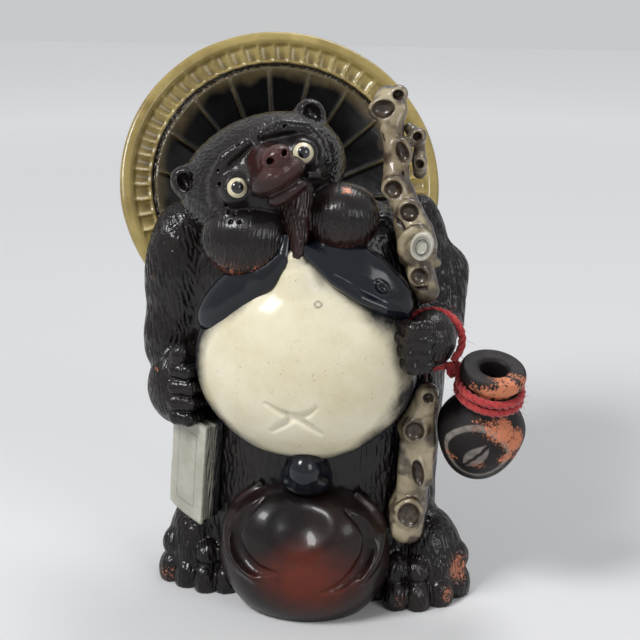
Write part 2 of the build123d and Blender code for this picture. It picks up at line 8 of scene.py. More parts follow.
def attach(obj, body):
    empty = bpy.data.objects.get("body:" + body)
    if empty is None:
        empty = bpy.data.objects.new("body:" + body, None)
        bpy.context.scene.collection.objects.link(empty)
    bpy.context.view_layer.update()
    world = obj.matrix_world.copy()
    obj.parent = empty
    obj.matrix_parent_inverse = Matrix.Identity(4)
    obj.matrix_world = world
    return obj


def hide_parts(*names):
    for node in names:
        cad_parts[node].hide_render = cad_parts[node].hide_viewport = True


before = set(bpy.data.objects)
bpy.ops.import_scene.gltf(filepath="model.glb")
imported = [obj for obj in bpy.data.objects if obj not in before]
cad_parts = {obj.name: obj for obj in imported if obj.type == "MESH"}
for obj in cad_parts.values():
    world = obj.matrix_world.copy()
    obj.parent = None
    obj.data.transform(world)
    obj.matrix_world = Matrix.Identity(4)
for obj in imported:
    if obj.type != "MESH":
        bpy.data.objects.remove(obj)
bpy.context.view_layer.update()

# Camera at the photograph's angle, in metres and degrees
CAMERA_AZIMUTH = 8.0
CAMERA_ELEVATION = 18.0
CAMERA_DISTANCE = 0.830
CAMERA_TARGET = Vector((0.004, 0.0, 0.170))
CAMERA_VIEW = 27.0

# The sculpted forms below are in millimetres, in the statue's own frame
MM = 0.001
COARSE = 1.0


def make_camera():
    data = bpy.data.cameras.new("camera")
    data.sensor_width = 36
    data.angle = math.radians(CAMERA_VIEW)
    camera = bpy.data.objects.new("camera", data)
    bpy.context.collection.objects.link(camera)
    turn, rise = math.radians(CAMERA_AZIMUTH), math.radians(CAMERA_ELEVATION)
    back = Vector((math.sin(turn) * math.cos(rise), -math.cos(turn) * math.cos(rise), math.sin(rise)))
    camera.location = CAMERA_TARGET + back * CAMERA_DISTANCE
    camera.rotation_euler = back.to_track_quat("Z", "Y").to_euler()
    bpy.context.scene.camera = camera


make_camera()


# Meshes and attributes

def mesh_piece(name, points, faces, values=None):
    """A smooth mesh object from points in millimetres, with a number or a vector stored at each point."""
    mesh = bpy.data.meshes.new(name)
    faces = faces.tolist() if isinstance(faces, np.ndarray) else faces
    mesh.from_pydata((np.asarray(points) * MM).tolist(), [], faces)
    for key, value in (values or {}).items():
        flat = value.ndim == 1
        layer = mesh.attributes.new(key, "FLOAT" if flat else "FLOAT_VECTOR", "POINT")
        layer.data.foreach_set("value" if flat else "vector", value.astype(np.float32).ravel())
    mesh.polygons.foreach_set("use_smooth", [True] * len(mesh.polygons))
    mesh.update()
    obj = bpy.data.objects.new(name, mesh)
    bpy.context.collection.objects.link(obj)
    return obj


def settle(obj, body, slot_name, material, *nodes):
    obj.data.materials.append(material)
    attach(obj, body)
    if nodes:
        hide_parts(*nodes)


# Materials

# Bare orange clay, which the worn places show, and the colours of the combed grooves: a painted highlight on their
# ridges and painted shade in their bottoms
CLAY_LOW, CLAY_HIGH = (0.52, 0.16, 0.075), (0.68, 0.26, 0.14)
RIDGE_HIGHLIGHT_COLOUR, GROOVE_SHADE_COLOUR = (0.030, 0.022, 0.020), (0.002, 0.002, 0.002)
WARM_SHARE = 0.30


class Shader:
    """The nodes of a material or the world, each one set and linked as it is added."""

    def __init__(self, owner):
        owner.use_nodes = True
        self.owner, self.nodes, self.links = owner, owner.node_tree.nodes, owner.node_tree.links

    def put(self, node, inputs):
        """Gives each input of a node a link, a colour or a number."""
        for key, value in inputs.items():
            if isinstance(value, bpy.types.NodeSocket):
                self.links.new(value, node.inputs[key])
            else:
                node.inputs[key].default_value = (*value, 1) if isinstance(value, tuple) else value

    def node(self, kind, output, inputs=None, **settings):
        made = self.nodes.new("ShaderNode" + kind)
        for key, value in settings.items():
            setattr(made, key, value)
        self.put(made, inputs or {})
        return made.outputs[output]

    def mix(self, share, low, high):
        return self.node("Mix", 2, {0: share, 6: low, 7: high}, data_type="RGBA")

    def ramp(self, source, low, high, start=0.0, end=1.0):
        """A number drawn from one range to another, held at the ends."""
        reach = {"From Min": low, "From Max": high, "To Min": start, "To Max": end}
        return self.node("MapRange", 0, {"Value": source, **reach})

    def maths(self, kind, a, b):
        return self.node("Math", 0, {0: a, 1: b}, operation=kind)

    def add(self, a, b):
        return self.maths("ADD", a, b)

    def times(self, a, b):
        return self.maths("MULTIPLY", a, b)

    def noise(self, place, scale, detail, rough):
        return self.node("TexNoise", 0, {"Vector": place, "Scale": scale, "Detail": detail, "Roughness": rough})

    def place(self):
        """The point on the piece itself, which moves with it."""
        return self.node("TexCoord", "Object")

    def stored(self, key, output="Fac"):
        """What a mesh stores at its points."""
        return self.node("Attribute", output, attribute_name=key)

    def bump(self, height, strength, distance, **below):
        return self.node("Bump", 0, {"Height": height, "Strength": strength, "Distance": distance, **below})

    def bare(self, flake, start, end, full):
        """Where the clay is bare: the stored wear, frayed by a noise."""
        worn = self.stored("wear")
        patch = self.add(worn, self.ramp(flake, 0.38, 0.62, start, end))
        return self.times(self.ramp(patch, 0.12, full), self.ramp(worn, 0.02, 0.1))

    def surface(self, colour, roughness, normal, **more):
        """Sets the surface; a key in more has _ for each space."""
        inputs = {"Base Color": colour, "Roughness": roughness, "Normal": normal}
        self.put(self.nodes["Principled BSDF"], inputs | {key.replace("_", " "): more[key] for key in more})
        return self.owner


def shader(name):
    return Shader(bpy.data.materials.new(name))


def glazed_clay(name, dark, warm, roughness, coat):
    """Dark glaze over combed clay: warmer where it is thin, bare orange clay where it is worn, a painted highlight on
    the combed ridges and painted shade in the grooves.
    """
    g = shader(name)
    place, groove = g.place(), g.stored("groove")
    fine = g.noise(g.stored("hair", "Vector"), 1.0, 3.0, 0.55)
    broad, grain = g.noise(place, 38, 5.0, 0.65), g.noise(place, 700, 4.0, 0.7)
    thin = g.add(g.times(g.ramp(broad, 0.35, 0.75), WARM_SHARE), g.stored("warm"))
    colour = g.mix(g.ramp(thin, 0.0, 1.0), dark, warm)
    # Painted highlight: lighter streaks along the ridges between the combed grooves.
    lift = g.times(g.ramp(groove, 0.0, 0.5, 1.0, 0.0), g.ramp(fine, 0.35, 0.7, 0.1, 0.7))
    colour = g.mix(g.times(lift, 0.3), colour, RIDGE_HIGHLIGHT_COLOUR)
    # Painted shade: the bottoms of the combed grooves are darkened.
    colour = g.mix(g.ramp(groove, 0.3, 1.0, 0.0, 0.8), colour, GROOVE_SHADE_COLOUR)
    bare = g.bare(g.noise(place, 480, 8.0, 0.85), -0.80, 0.12, 0.24)
    bare = g.times(bare, g.ramp(groove, 0.25, 0.6, 1.0, 0.15))
    colour = g.mix(bare, colour, g.mix(grain, CLAY_LOW, CLAY_HIGH))
    gloss = g.add(g.ramp(broad, 0.3, 0.75, roughness - 0.07, roughness + 0.12), g.times(bare, 0.45))
    normal = g.bump(grain, 0.16, 0.0003, Normal=g.bump(fine, 0.55, 0.0009))
    normal = g.bump(bare, 0.35, -0.0003, Normal=normal)
    return g.surface(colour, gloss, normal, Coat_Weight=coat, Coat_Roughness=0.10, Specular_IOR_Level=0.20)


# The red cord, in metres. Its loop and its winding follow the solids' routes.

LOOP_MIDDLE = Vector((0.0756, -0.03348, 0.172224))
LOOP_RADIUS = 0.018
LOOP_POINTS = 20
KNOT_ANGLE = -54.0
KNOT_REACH = 0.022
KNOT_ROOM = 10.0
KNOT_SIZE = 0.0014
NECK_PLACE = Vector((0.110428, -0.038893, 0.14366))
FLASK_TURN = Matrix.Rotation(math.radians(8.5), 4, "Y") @ Matrix.Rotation(math.radians(15), 4, "X")
WINDING_TURN = FLASK_TURN @ Matrix.Rotation(math.radians(-18.4), 4, "Z")
WINDING_RADIUS = 0.0193
WINDING_STEP = 0.0056
WINDING_TURNS = 2
TURN_POINTS = 18
STRANDS = 3
STRAND_SIDES = 9
STRAND_RADIUS = 0.00132
STRAND_OFFSET = 0.00116
STRAND_PITCH = 0.0135
YARN_SWELL = 0.05
YARN_PITCH = 0.0021
FIBRE_POINTS = 7
FIBRE_START = 0.00154
FIBRE_RADII = (0.00013, 0.00006)


def on_loop(angle, reach):
    """A point in the loop's plane, at an angle from +X towards +Z and a reach from its middle."""
    turn = math.radians(angle)
    return LOOP_MIDDLE + Vector((reach * math.cos(turn), 0, reach * math.sin(turn)))


def loop_route():
    first, last = KNOT_ANGLE + KNOT_ROOM, KNOT_ANGLE + 360 - KNOT_ROOM
    return [on_loop(first + (last - first) * i / (LOOP_POINTS - 1), LOOP_RADIUS) for i in range(LOOP_POINTS)]


def winding_route():
    count = TURN_POINTS * WINDING_TURNS
    points = []
    for i in range(count + 1):
        turn = math.pi * (1 + 2 * WINDING_TURNS * i / count)
        drop = WINDING_STEP * WINDING_TURNS * (0.5 - i / count)
        spot = Vector((WINDING_RADIUS * math.cos(turn), WINDING_RADIUS * math.sin(turn), drop))
        points.append(NECK_PLACE + WINDING_TURN @ spot)
    return points


def read_route(points):
    """Points read from the smooth NURBS spline that has these control points."""
    data = bpy.data.curves.new("route", "CURVE")
    data.dimensions = "3D"
    data.resolution_u = 16
    spline = data.splines.new("NURBS")
    spline.points.add(len(points) - 1)
    for spot, point in zip(spline.points, points):
        spot.co = (*point, 1)
    spline.order_u = 3
    spline.use_endpoint_u = True
    line = bpy.data.objects.new("route", data)
    drawn = bpy.data.meshes.new_from_object(line)
    read = [v.co.copy() for v in drawn.vertices]
    bpy.data.objects.remove(line)
    bpy.data.meshes.remove(drawn)
    return read


def resample(points, spacing):
    """Points at an even spacing along a line of points."""
    points = np.array([tuple(p) for p in points])
    runs = np.linalg.norm(np.diff(points, axis=0), axis=1)
    along = np.concatenate(([0], np.cumsum(runs)))
    count = max(3, round(along[-1] / spacing))
    places = np.linspace(0, along[-1], count + 1)
    return np.stack([np.interp(places, along, points[:, d]) for d in range(3)], 1), places


def line_frames(points):
    """Two directions across a line at each of its points, which don't twist along it."""
    way = np.gradient(points, axis=0)
    way /= np.linalg.norm(way, axis=1)[:, None]
    side = np.cross(way[0], (0.3, 0.5, 0.81))
    sides = []
    for step in way:
        side = side - step * (side @ step)
        side /= np.linalg.norm(side)
        sides.append(side)
    sides = np.array(sides)
    return sides, np.cross(way, sides)


def tube(points, radii, sides):
    """Points and faces of a closed round tube along a line."""
    across, beside = line_frames(points)
    rings = []
    for i in range(sides):
        turn = 2 * math.pi * i / sides
        rings.append(points + (across * math.cos(turn) + beside * math.sin(turn)) * radii[:, None])
    faces = []
    for near in range(0, (len(points) - 1) * sides, sides):
        for i in range(sides):
            j = (i + 1) % sides
            faces.append((near + i, near + j, near + sides + j, near + sides + i))
    faces.append(tuple(reversed(range(sides))))
    faces.append(tuple(range((len(points) - 1) * sides, len(points) * sides)))
    return np.stack(rings, 1).reshape(-1, 3), faces


def tubes_piece(name, lines, sides):
    """One mesh of tubes, each a line in metres with a radius at each of its points."""
    spots, faces = [], []
    for line, radii in lines:
        ring, ring_faces = tube(line, radii, sides)
        faces += [tuple(len(spots) + i for i in face) for face in ring_faces]
        spots.extend(ring)
    return mesh_piece(name, np.array(spots) / MM, faces)


def rope_mesh(name, route, scale=1.0, spacing=0.0006):
    """Three twisted strands along a route; scale is a share of the cord's own size."""
    points, along = resample(route, spacing)
    across, beside = line_frames(points)
    lines = []
    for k in range(STRANDS):
        turn = 2 * math.pi * (along / (STRAND_PITCH * scale) + k / STRANDS)
        out = across * np.cos(turn)[:, None] + beside * np.sin(turn)[:, None]
        yarn = 1 + YARN_SWELL * np.sin(2 * math.pi * along / (YARN_PITCH * scale) + k)
        lines.append((points + out * (STRAND_OFFSET * scale), STRAND_RADIUS * scale * yarn))
    return tubes_piece(name, lines, STRAND_SIDES)


def fibres(name, route, count, low, high, seed):
    """Loose curved fibres that stand off the cord."""
    chance = np.random.default_rng(seed)
    points, _ = resample(route, 0.001)
    across, beside = line_frames(points)
    shares = np.linspace(0, 1, FIBRE_POINTS)[:, None]
    lines = []
    for _ in range(count):
        spot = chance.integers(1, len(points) - 1)
        turn = chance.uniform(0, 2 * math.pi)
        out = across[spot] * math.cos(turn) + beside[spot] * math.sin(turn)
        way = points[spot + 1] - points[spot - 1]
        way /= np.linalg.norm(way)
        lean = way * chance.uniform(-1, 1) + chance.normal(0, 0.35, 3)
        long = chance.uniform(low, high)
        line = points[spot] + out * FIBRE_START + (out * shares + lean * shares ** 2 * 0.8) * long
        line[:, 2] -= (shares[:, 0] ** 2) * long * 0.25
        lines.append((line, np.linspace(*FIBRE_RADII, FIBRE_POINTS)))
    return tubes_piece(name, lines, 3)


def red_yarn():
    g = shader("red_yarn")
    place = g.place()
    coarse, fine = g.noise(place, 420, 4, 0.6), g.noise(place, 3200, 3, 0.7)
    colour = g.mix(g.ramp(coarse, 0.3, 0.7), (0.30, 0.012, 0.02), (0.60, 0.06, 0.055))
    colour = g.mix(g.ramp(fine, 0.62, 0.8, 0, 0.5), colour, (0.85, 0.30, 0.24))
    return g.surface(colour, 0.85, g.bump(fine, 0.6, 0.0004), Sheen_Weight=0.5, Sheen_Roughness=0.4)


def make_cords():
    yarn = red_yarn()
    loop, winding = read_route(loop_route()), read_route(winding_route())
    turns = np.linspace(0, 2 * math.pi, 90)
    tied = (np.sin(turns) + 2 * np.sin(2 * turns), -np.sin(3 * turns) * 1.1, np.cos(turns) - 2 * np.cos(2 * turns))
    knot = np.array(on_loop(KNOT_ANGLE, KNOT_REACH)) + np.stack(tied, 1) * KNOT_SIZE
    ropes, fuzz = {}, {}
    for node, body, route, fineness, count, low, high, seed in (
        ("cord_loop", "sling", loop, (1.0, 0.0006), 70, 0.002, 0.0065, 21),
        ("cord_collar", "hanger", winding, (1.0, 0.0006), 70, 0.002, 0.006, 22),
        ("cord_knot", "hanger", knot, (0.8, 0.0004), 40, 0.003, 0.008, 23),
    ):
        ropes[node] = rope_mesh(node + "_rope", route, *fineness)
        settle(ropes[node], body, "red_cord", yarn, node)
        fuzz[node] = fibres(node + "_fibres", route, count, low, high, seed)
        settle(fuzz[node], body, "red_cord", yarn)
    tuple(loop[0])
    [tuple(p) for p in loop]
    tuple(winding[0])
    [tuple(p) for p in winding]


make_cords()


# Distance forms

def vec(*numbers):
    return np.array(numbers, np.float32)


def turn_matrix(x=0.0, y=0.0, z=0.0):
    """A turn about y, then x, then z, in degrees; its columns are the turned axes."""
    turns = [Matrix.Rotation(math.radians(angle), 3, axis) for angle, axis in ((z, "Z"), (x, "X"), (y, "Y"))]
    return np.array(turns[0] @ turns[1] @ turns[2], np.float32)


def length(a):
    return np.sqrt((a * a).sum(-1))


def smooth_min(a, b, k):
    h = np.clip(0.5 + 0.5 * (b - a) / k, 0, 1)
    return b + (a - b) * h - k * h * (1 - h)


def smooth_max(a, b, k):
    return -smooth_min(-a, -b, k)


def smooth_step(low, high, x):
    t = np.clip((x - low) / (high - low), 0, 1)
    return t * t * (3 - 2 * t)


class Form:
    """A rounded form: its distance function, the box it fills and how softly it joins the rest."""

    def __init__(self, distance, low, high, soft=4.0, owner=None):
        self.distance, self.soft, self.owner = distance, soft, owner
        self.low, self.high = np.asarray(low, np.float32), np.asarray(high, np.float32)

    def misses(self, low, high):
        return (self.low > high).any() or (self.high < low).any()


def rounded(near, steep):
    """An ellipsoid's or an oval's distance, from its scaled radius and the slope of that."""
    return near * (near - 1) / np.maximum(steep, 1e-6)


def egg(middle, half, soft=4.0, owner=None, turn=None):
    middle, half = vec(*middle), vec(*half)

    def distance(p):
        q = p - middle
        if turn is not None:
            q = q @ turn
        return rounded(length(q / half), length(q / (half * half)))

    reach = half.max() if turn is not None else half
    return Form(distance, middle - reach, middle + reach, soft, owner)


def limb(points, radii, soft=3.0, owner=None):
    """A chain of round cones through points."""
    points = [vec(*point) for point in points]

    def distance(p):
        parts = []
        for (a, ra), (b, rb) in zip(zip(points, radii), zip(points[1:], radii[1:])):
            way = b - a
            share = np.clip(((p - a) @ way) / (way @ way), 0, 1)
            parts.append(length(p - a - share[..., None] * way) - (ra + (rb - ra) * share))
        return np.minimum.reduce(parts)

    stack, reach = np.stack(points), max(radii)
    return Form(distance, stack.min(0) - reach, stack.max(0) + reach, soft, owner)


def joined(d, p, forms):
    """A distance with forms joined to it, each as softly as it says."""
    for form in forms:
        d = smooth_min(d, form.distance(p), form.soft)
    return d


def carved(d, p, forms, soft):
    """A distance with forms pressed into it."""
    for form in forms:
        d = smooth_max(d, -form.distance(p), soft)
    return d


# The trunk: height, half width, half depth and middle towards the back
TRUNK_TOP = 252.0
TRUNK_ROWS = np.array((
    (0, 81.5, 56.2, 3.2),
    (30, 77.3, 54.5, 3.2),
    (76, 79.0, 54.0, 3.2),
    (126, 81.5, 54.0, 2.7),
    (171, 84.0, 51.8, 1.6),
    (207, 80.6, 46.4, -1.1),
    (234, 63.8, 36.7, -3.2),
    (TRUNK_TOP, 33.6, 20.5, -4.3),
), np.float32)


def trunk_form(inset=0.0, top=TRUNK_TOP):
    def distance(p):
        z = np.clip(p[..., 2], 0, TRUNK_TOP)
        wide, deep, back = (np.interp(z, TRUNK_ROWS[:, 0], row).astype(np.float32) for row in TRUNK_ROWS.T[1:])
        x, y = p[..., 0] / (wide - inset), (p[..., 1] - back) / (deep - inset)
        steep = np.sqrt((x / (wide - inset)) ** 2 + (y / (deep - inset)) ** 2)
        side = rounded(np.sqrt(x * x + y * y), steep)
        return smooth_max(side * 0.8, p[..., 2] - top + inset, 14)

    return Form(distance, (-86, -56, -5), (86, 62, top + 3), 6, "trunk")


# Head frame: local x is the head's left, -y its forward direction and z its up
HEAD_MIDDLE = vec(-28.5, -12.0, 262.0)
HEAD_TURN = turn_matrix(-17, -28, 17)


def from_head(points):
    """Points in the head's own frame."""
    return (points - HEAD_MIDDLE) @ HEAD_TURN


def on_head(x, forward, up):
    return tuple(HEAD_MIDDLE + HEAD_TURN @ vec(x, -forward, up))


def head_egg(x, forward, up, half, soft=0, owner=None, turn=None):
    spun = HEAD_TURN if turn is None else HEAD_TURN @ turn
    return egg(on_head(x, forward, up), half, soft, owner, spun)


def head_limb(places, radii, soft=0, owner=None):
    return limb([on_head(*place) for place in places], radii, soft, owner)


EYES = {"right": on_head(-22.1, 43.5, 1.0), "left": on_head(20.3, 44.3, -0.7)}
RIGHT_CHEEK = vec(-32.6, -43.0, 232.4)
LEFT_CHEEK = vec(22.7, -38.9, 245.7)
RIGHT_HAND = vec(-79.0, -32.4, 134.8)
LEFT_HAND = vec(75.6, -45.4, 176.4)
RIGHT_FOOT = vec(-72.2, -10.8, 7.6)
LEFT_FOOT = vec(74.8, -14.0, 7.6)


def toes(places, owner):
    """Toes of two joints each, from the place of each tip's front."""
    forms = []
    for x, front in places:
        forms.append(egg((x, front + 13.5, 5.0), (9.6, 13.5, 13.5), 1.2, owner))
        forms.append(egg((x * 0.985, front + 18.0, 21.5), (9.3, 12.5, 10.2), 1.3, owner))
    return forms


def fist(middle, inward, owner):
    """Four fingers that close on the belly's side, each with two joints."""
    forms = []
    for rise, reach in ((15.5, -3.0), (5.5, 0.0), (-4.5, 0.0), (-14.5, -2.5)):
        if owner == "left_hand":
            rise *= 0.74
        knuckle = middle + vec(inward * 2.0, -17.0 - reach * 0.5, rise)
        middle_joint = middle + vec(inward * (10.5 + reach * 0.5), -17.5, rise - 0.5)
        tip = middle + vec(inward * (17.0 + reach), -10.0, rise - 1.0)
        forms.append(limb((knuckle, middle_joint), (5.4, 5.0), 1.3, owner))
        forms.append(limb((middle_joint, tip), (4.9, 4.2), 1.0, owner))
    return forms


HAIRY = [
    trunk_form(),
    egg((-79, -6, 195), (25.5, 27, 50), 6, "right_arm"),
    egg((-86, -14, 158), (19, 22, 26), 8, "right_arm"),
    egg((65, -1, 198), (19.5, 26, 54), 6, "left_arm"),
    limb(((80, 2, 205), (80, -12, 178), (76, -34, 174)), (15, 14, 12.5), 8, "left_arm"),
    egg(RIGHT_HAND, (19.5, 20, 25), 4, "right_hand"),
    egg(RIGHT_HAND + vec(4, -14, 24), (6.2, 6.2, 8.0), 2, "right_hand", turn_matrix(0, 25, 0)),
    *fist(RIGHT_HAND, 1, "right_hand"),
    egg(LEFT_HAND, (15.0, 17.5, 17.0), 3, "left_hand"),
    *fist(LEFT_HAND, -1, "left_hand"),
    egg(RIGHT_FOOT, (24, 29, 45), 5, "right_foot"),
    *toes(((-88.5, -38), (-77, -45), (-64, -50), (-51, -49)), "right_foot"),
    egg(LEFT_FOOT, (25, 29, 45), 5, "left_foot"),
    *toes(((58, -55), (71.5, -54), (84.5, -47), (94, -34)), "left_foot"),
    egg((8.4, 55, 48), (25, 17, 44), 4, "tail", turn_matrix(0, 8, 0)),
    head_egg(0, 0, 0, (51.5, 46, 36.5), 6, "head", turn_matrix(0, 8, 0)),
    egg(RIGHT_CHEEK, (27.0, 25.5, 24.2), 0.7, "right_cheek"),
    egg(LEFT_CHEEK, (21.0, 22, 20.8), 0.7, "left_cheek"),
    head_limb(((-5, 42, 20), (-19, 39.5, 18.5), (-30.5, 34, 11), (-35, 31, 1), (-33, 33, -8)),
              (3.4, 4.0, 3.4, 3.0, 2.0), 3.5, "head"),
    head_limb(((6, 42, 20), (19, 40, 18.0), (30, 36, 11.5), (33.5, 34, 1), (32, 35, -9)),
              (3.4, 4.4, 4.0, 3.4, 2.4), 3.5, "head"),
    head_egg(-22.1, 36.9, 1.0, (10.2, 10.2, 10.2), 3, "head"),
    head_egg(20.3, 37.7, -0.7, (10.2, 10.2, 10.2), 3, "head"),
    head_egg(0, 43, 5, (9.5, 17, 9), 6, "muzzle"),
    head_egg(0, 54, -5.0, (17.5, 15.5, 8.5), 6, "muzzle"),
    head_egg(2.4, 64.5, 4.0, (9, 8.5, 7.0), 3, "nose"),
    head_egg(0, 50, -15.5, (12.5, 11, 5.5), 1.6, "lower_jaw"),
    head_limb(((16, 49, -13.5), (20, 45, -15.5), (23, 42.5, -13.5)), (2.2, 2.7, 1.6), 1.6, "head"),
    egg((-1, -37, 240), (11, 12, 24), 3, "throat"),
    limb(((-4, -42, 257), (-2, -48, 247), (-0.6, -54, 237), (-0.8, -59.5, 228)), (11, 8.6, 5.6, 3.2), 2, "throat"),
    head_egg(42.5, 4, 17, (9.5, 7.5, 10.5), 4, "left_ear"),
    head_egg(-42, 7, 20, (8.6, 7.5, 9.6), 4, "right_ear"),
]

# Pits of the brows and the mouth's corners: radius and place on the head; and of the whiskers, with their size
FACE_PITS = (
    (1.5, (-10, 47, 21.5)), (1.5, (20, 48.5, 17.5)), (1.1, (-30, 42, 8)), (1.0, (-27, 43, 15)), (1.1, (-33, 40, -4)),
    (1.2, (26, 47, -17)), (1.2, (30, 42, -20)), (1.0, (35, 38, -20)), (1.0, (27, 48, 12)),
)
WHISKER_PITS = (
    (-40.4, -58, 251), (-36, -59.5, 250.4), (-38.3, -62.5, 246.6), (-33, -63, 246.6), (-28.5, -58.5, 251.6),
)
WHISKER_RADII = (0.75, 0.7)

# Hollows pressed into the clay: form and how softly its edge rounds over
HOLLOWS = [
    (head_egg(-22.1, 52.5, 1.0, (8.0, 11, 8.0)), 1.0),
    (head_egg(20.3, 53.3, -0.7, (8.0, 11, 8.0)), 1.0),
    (head_egg(43.5, 12.5, 18, (5.0, 7.5, 6.3)), 2.0),
    (head_egg(-43, 15.5, 20.5, (4.4, 7.5, 5.8)), 2.0),
    (head_limb(((-2.0, 73.5, 3.0), (-2.6, 65.0, 5.0)), (1.9, 1.5)), 1.0),
    (head_limb(((6.6, 73.5, 3.0), (7.2, 65.0, 5.0)), (1.9, 1.5)), 1.0),
    (head_limb(((2.0, 73.5, -2), (1.6, 71.0, -11.5)), (0.9, 0.9)), 1.0),
    (head_limb(((-16, 56, -11.5), (0, 70.0, -12.5), (16, 57, -12.5)), (1.3, 1.5, 1.3)), 1.0),
    *[(head_limb(((x, forward, up), (x * 0.93, forward - 6.5, up)), (size, size * 0.6)), 1.4)
      for size, (x, forward, up) in FACE_PITS],
    *[(limb(((x, y, z), (x, y + 1.0, z)), WHISKER_RADII, 0), 1.4) for x, y, z in WHISKER_PITS],
]


# How far a joined form reaches past its box, how far clay pieces overlap, and the seam between them
BLEND_REACH = 8
OVERLAP = 2.0
SEAM_DEPTH = 0.25


def hairy_piece(name):
    """The distance of one clay piece: the joined form, kept to where this piece is the nearest."""
    mine = [form for form in HAIRY if form.owner == name]
    low = np.min([form.low for form in mine], 0) - 4
    high = np.max([form.high for form in mine], 0) + 4
    low[2] = max(low[2], -1.5)
    forms = [form for form in HAIRY if not form.misses(low - BLEND_REACH, high + BLEND_REACH)]
    hollows = [(hollow, soft) for hollow, soft in HOLLOWS if not hollow.misses(low, high)]

    def distance(p):
        whole, owned = None, {}
        for form in forms:
            d = form.distance(p)
            whole = d if whole is None else smooth_min(whole, d, form.soft)
            owned[form.owner] = np.minimum(owned.get(form.owner, d), d)
        for hollow, soft in hollows:
            whole = smooth_max(whole, -hollow.distance(p), soft)
        rest = [d for owner, d in owned.items() if owner != name]
        if rest:
            lead = owned[name] - np.minimum.reduce(rest)
            whole = np.maximum(whole + SEAM_DEPTH * np.clip(lead / OVERLAP, 0, 1), lead - OVERLAP)
        return np.maximum(whole, -p[..., 2])

    return distance, low, high


# Surface extraction

def surface_net(field, low, step):
    """Points and four-sided faces on the zero level of a grid of distances."""
    inside = field < 0
    size = [n - 1 for n in field.shape]
    corners = [(i, j, k) for i in (0, 1) for j in (0, 1) for k in (0, 1)]
    count = np.zeros(size, np.int8)
    for i, j, k in corners:
        count += inside[i:size[0] + i, j:size[1] + j, k:size[2] + k]
    active = (count > 0) & (count < 8)
    cells = np.argwhere(active)
    index = np.full(active.shape, -1, np.int32)
    index[active] = np.arange(len(cells))
    total = np.zeros((len(cells), 3), np.float32)
    hits = np.zeros(len(cells), np.float32)
    for axis in range(3):
        for a in corners:
            if a[axis]:
                continue
            b = [a[d] + (d == axis) for d in range(3)]
            near = field[cells[:, 0] + a[0], cells[:, 1] + a[1], cells[:, 2] + a[2]]
            far = field[cells[:, 0] + b[0], cells[:, 1] + b[1], cells[:, 2] + b[2]]
            cross = (near < 0) != (far < 0)
            share = np.where(cross, near / np.where(cross, near - far, 1), 0)
            for d in range(3):
                total[:, d] += np.where(cross, a[d] + share * (d == axis), 0)
            hits += cross
    points = (cells + total / hits[:, None]) * step + np.asarray(low)
    faces = []
    for axis in range(3):
        others = [d for d in range(3) if d != axis]
        first, second = [slice(1, -1)] * 3, [slice(1, -1)] * 3
        first[axis], second[axis] = slice(0, -1), slice(1, None)
        a, b = inside[tuple(first)], inside[tuple(second)]
        for flip, edges in ((False, a & ~b), (True, ~a & b)):
            edge = np.argwhere(edges)
            if not len(edge):
                continue
            edge[:, others[0]] += 1
            edge[:, others[1]] += 1
            ring = []
            for du, dv in ((-1, -1), (0, -1), (0, 0), (-1, 0)):
                cell = edge.copy()
                cell[:, others[0]] += du
                cell[:, others[1]] += dv
                ring.append(index[cell[:, 0], cell[:, 1], cell[:, 2]])
            face = np.stack(ring, 1)
            faces.append(face[:, ::-1] if flip != (axis == 1) else face)
    return points.astype(np.float32), np.concatenate(faces)


def slopes(distance, points, reach=0.4):
    """Unit normals from the distance function."""
    slope = np.zeros_like(points)
    for d in range(3):
        shift = np.zeros(3, np.float32)
        shift[d] = reach
        slope[:, d] = distance(points + shift) - distance(points - shift)
    return slope / np.maximum(length(slope), 1e-6)[:, None]


def extract(distance, low, high, step):
    """Points, faces and normals of a form, drawn onto its true surface."""
    step *= COARSE
    low = np.asarray(low, np.float32)
    axes = [np.arange(low[d] - 2 * step, high[d] + 3 * step, step, dtype=np.float32) for d in range(3)]
    field = np.empty([len(a) for a in axes], np.float32)
    y, z = np.meshgrid(axes[1], axes[2], indexing="ij")
    for start in range(0, len(axes[0]), 16):
        part = axes[0][start:start + 16]
        grid = np.empty((len(part), *y.shape, 3), np.float32)
        grid[..., 0] = part[:, None, None]
        grid[..., 1] = y
        grid[..., 2] = z
        field[start:start + 16] = distance(grid)
    corner = [a[0] for a in axes]
    points, faces = surface_net(field, corner, step)
    for _ in range(2):
        normal = slopes(distance, points)
        away = np.clip(distance(points), -step, step)
        points = points - normal * away[:, None] * 0.8
    return points, faces, slopes(distance, points)


# Stroke patterns

def scatter(a, b=0, c=0):
    """A fixed random number from 0 to 1 for each whole-number place."""
    mixed = np.sin(a * 127.1 + b * 311.7 + c * 74.7 + 3.1) * 43758.5453
    return mixed - np.floor(mixed)


def soft_noise(p, size, seed=0):
    """Smooth noise from -1 to 1 at points, with bumps of about the given size."""
    q = p / size + seed * 17.31
    base = np.floor(q)
    share = q - base
    share = share * share * (3 - 2 * share)
    total = 0
    for corner in np.ndindex(2, 2, 2):
        weight = 1
        for d in range(3):
            weight = weight * (share[..., d] if corner[d] else 1 - share[..., d])
        cell = [base[..., d] + corner[d] for d in range(3)]
        total = total + weight * scatter(cell[0], cell[1], cell[2])
    return total * 2 - 1


def strokes(across, along, wide, long, seed):
    """Combed strokes: 1 in the middle of a groove and 0 on the ridge between two grooves."""
    column = np.floor(across / wide)
    place = across / wide - column
    phase = scatter(column, seed) * long
    row = np.floor((along + phase) / long)
    share = (along + phase) / long - row
    lean = (scatter(column, row, seed + 1) - 0.5) * 0.5
    start = scatter(column, row, seed + 2) * 0.25
    end = 1 - scatter(column, row, seed + 3) * 0.25
    deep = 0.55 + 0.45 * scatter(column, row, seed + 4)
    off = np.abs(place - 0.5 - lean * (share - 0.5))
    groove = np.clip(1 - off / 0.36, 0, 1)
    taper = smooth_step(start, start + 0.18, share) * (1 - smooth_step(end - 0.25, end, share))
    return groove * groove * (3 - 2 * groove) * taper * deep


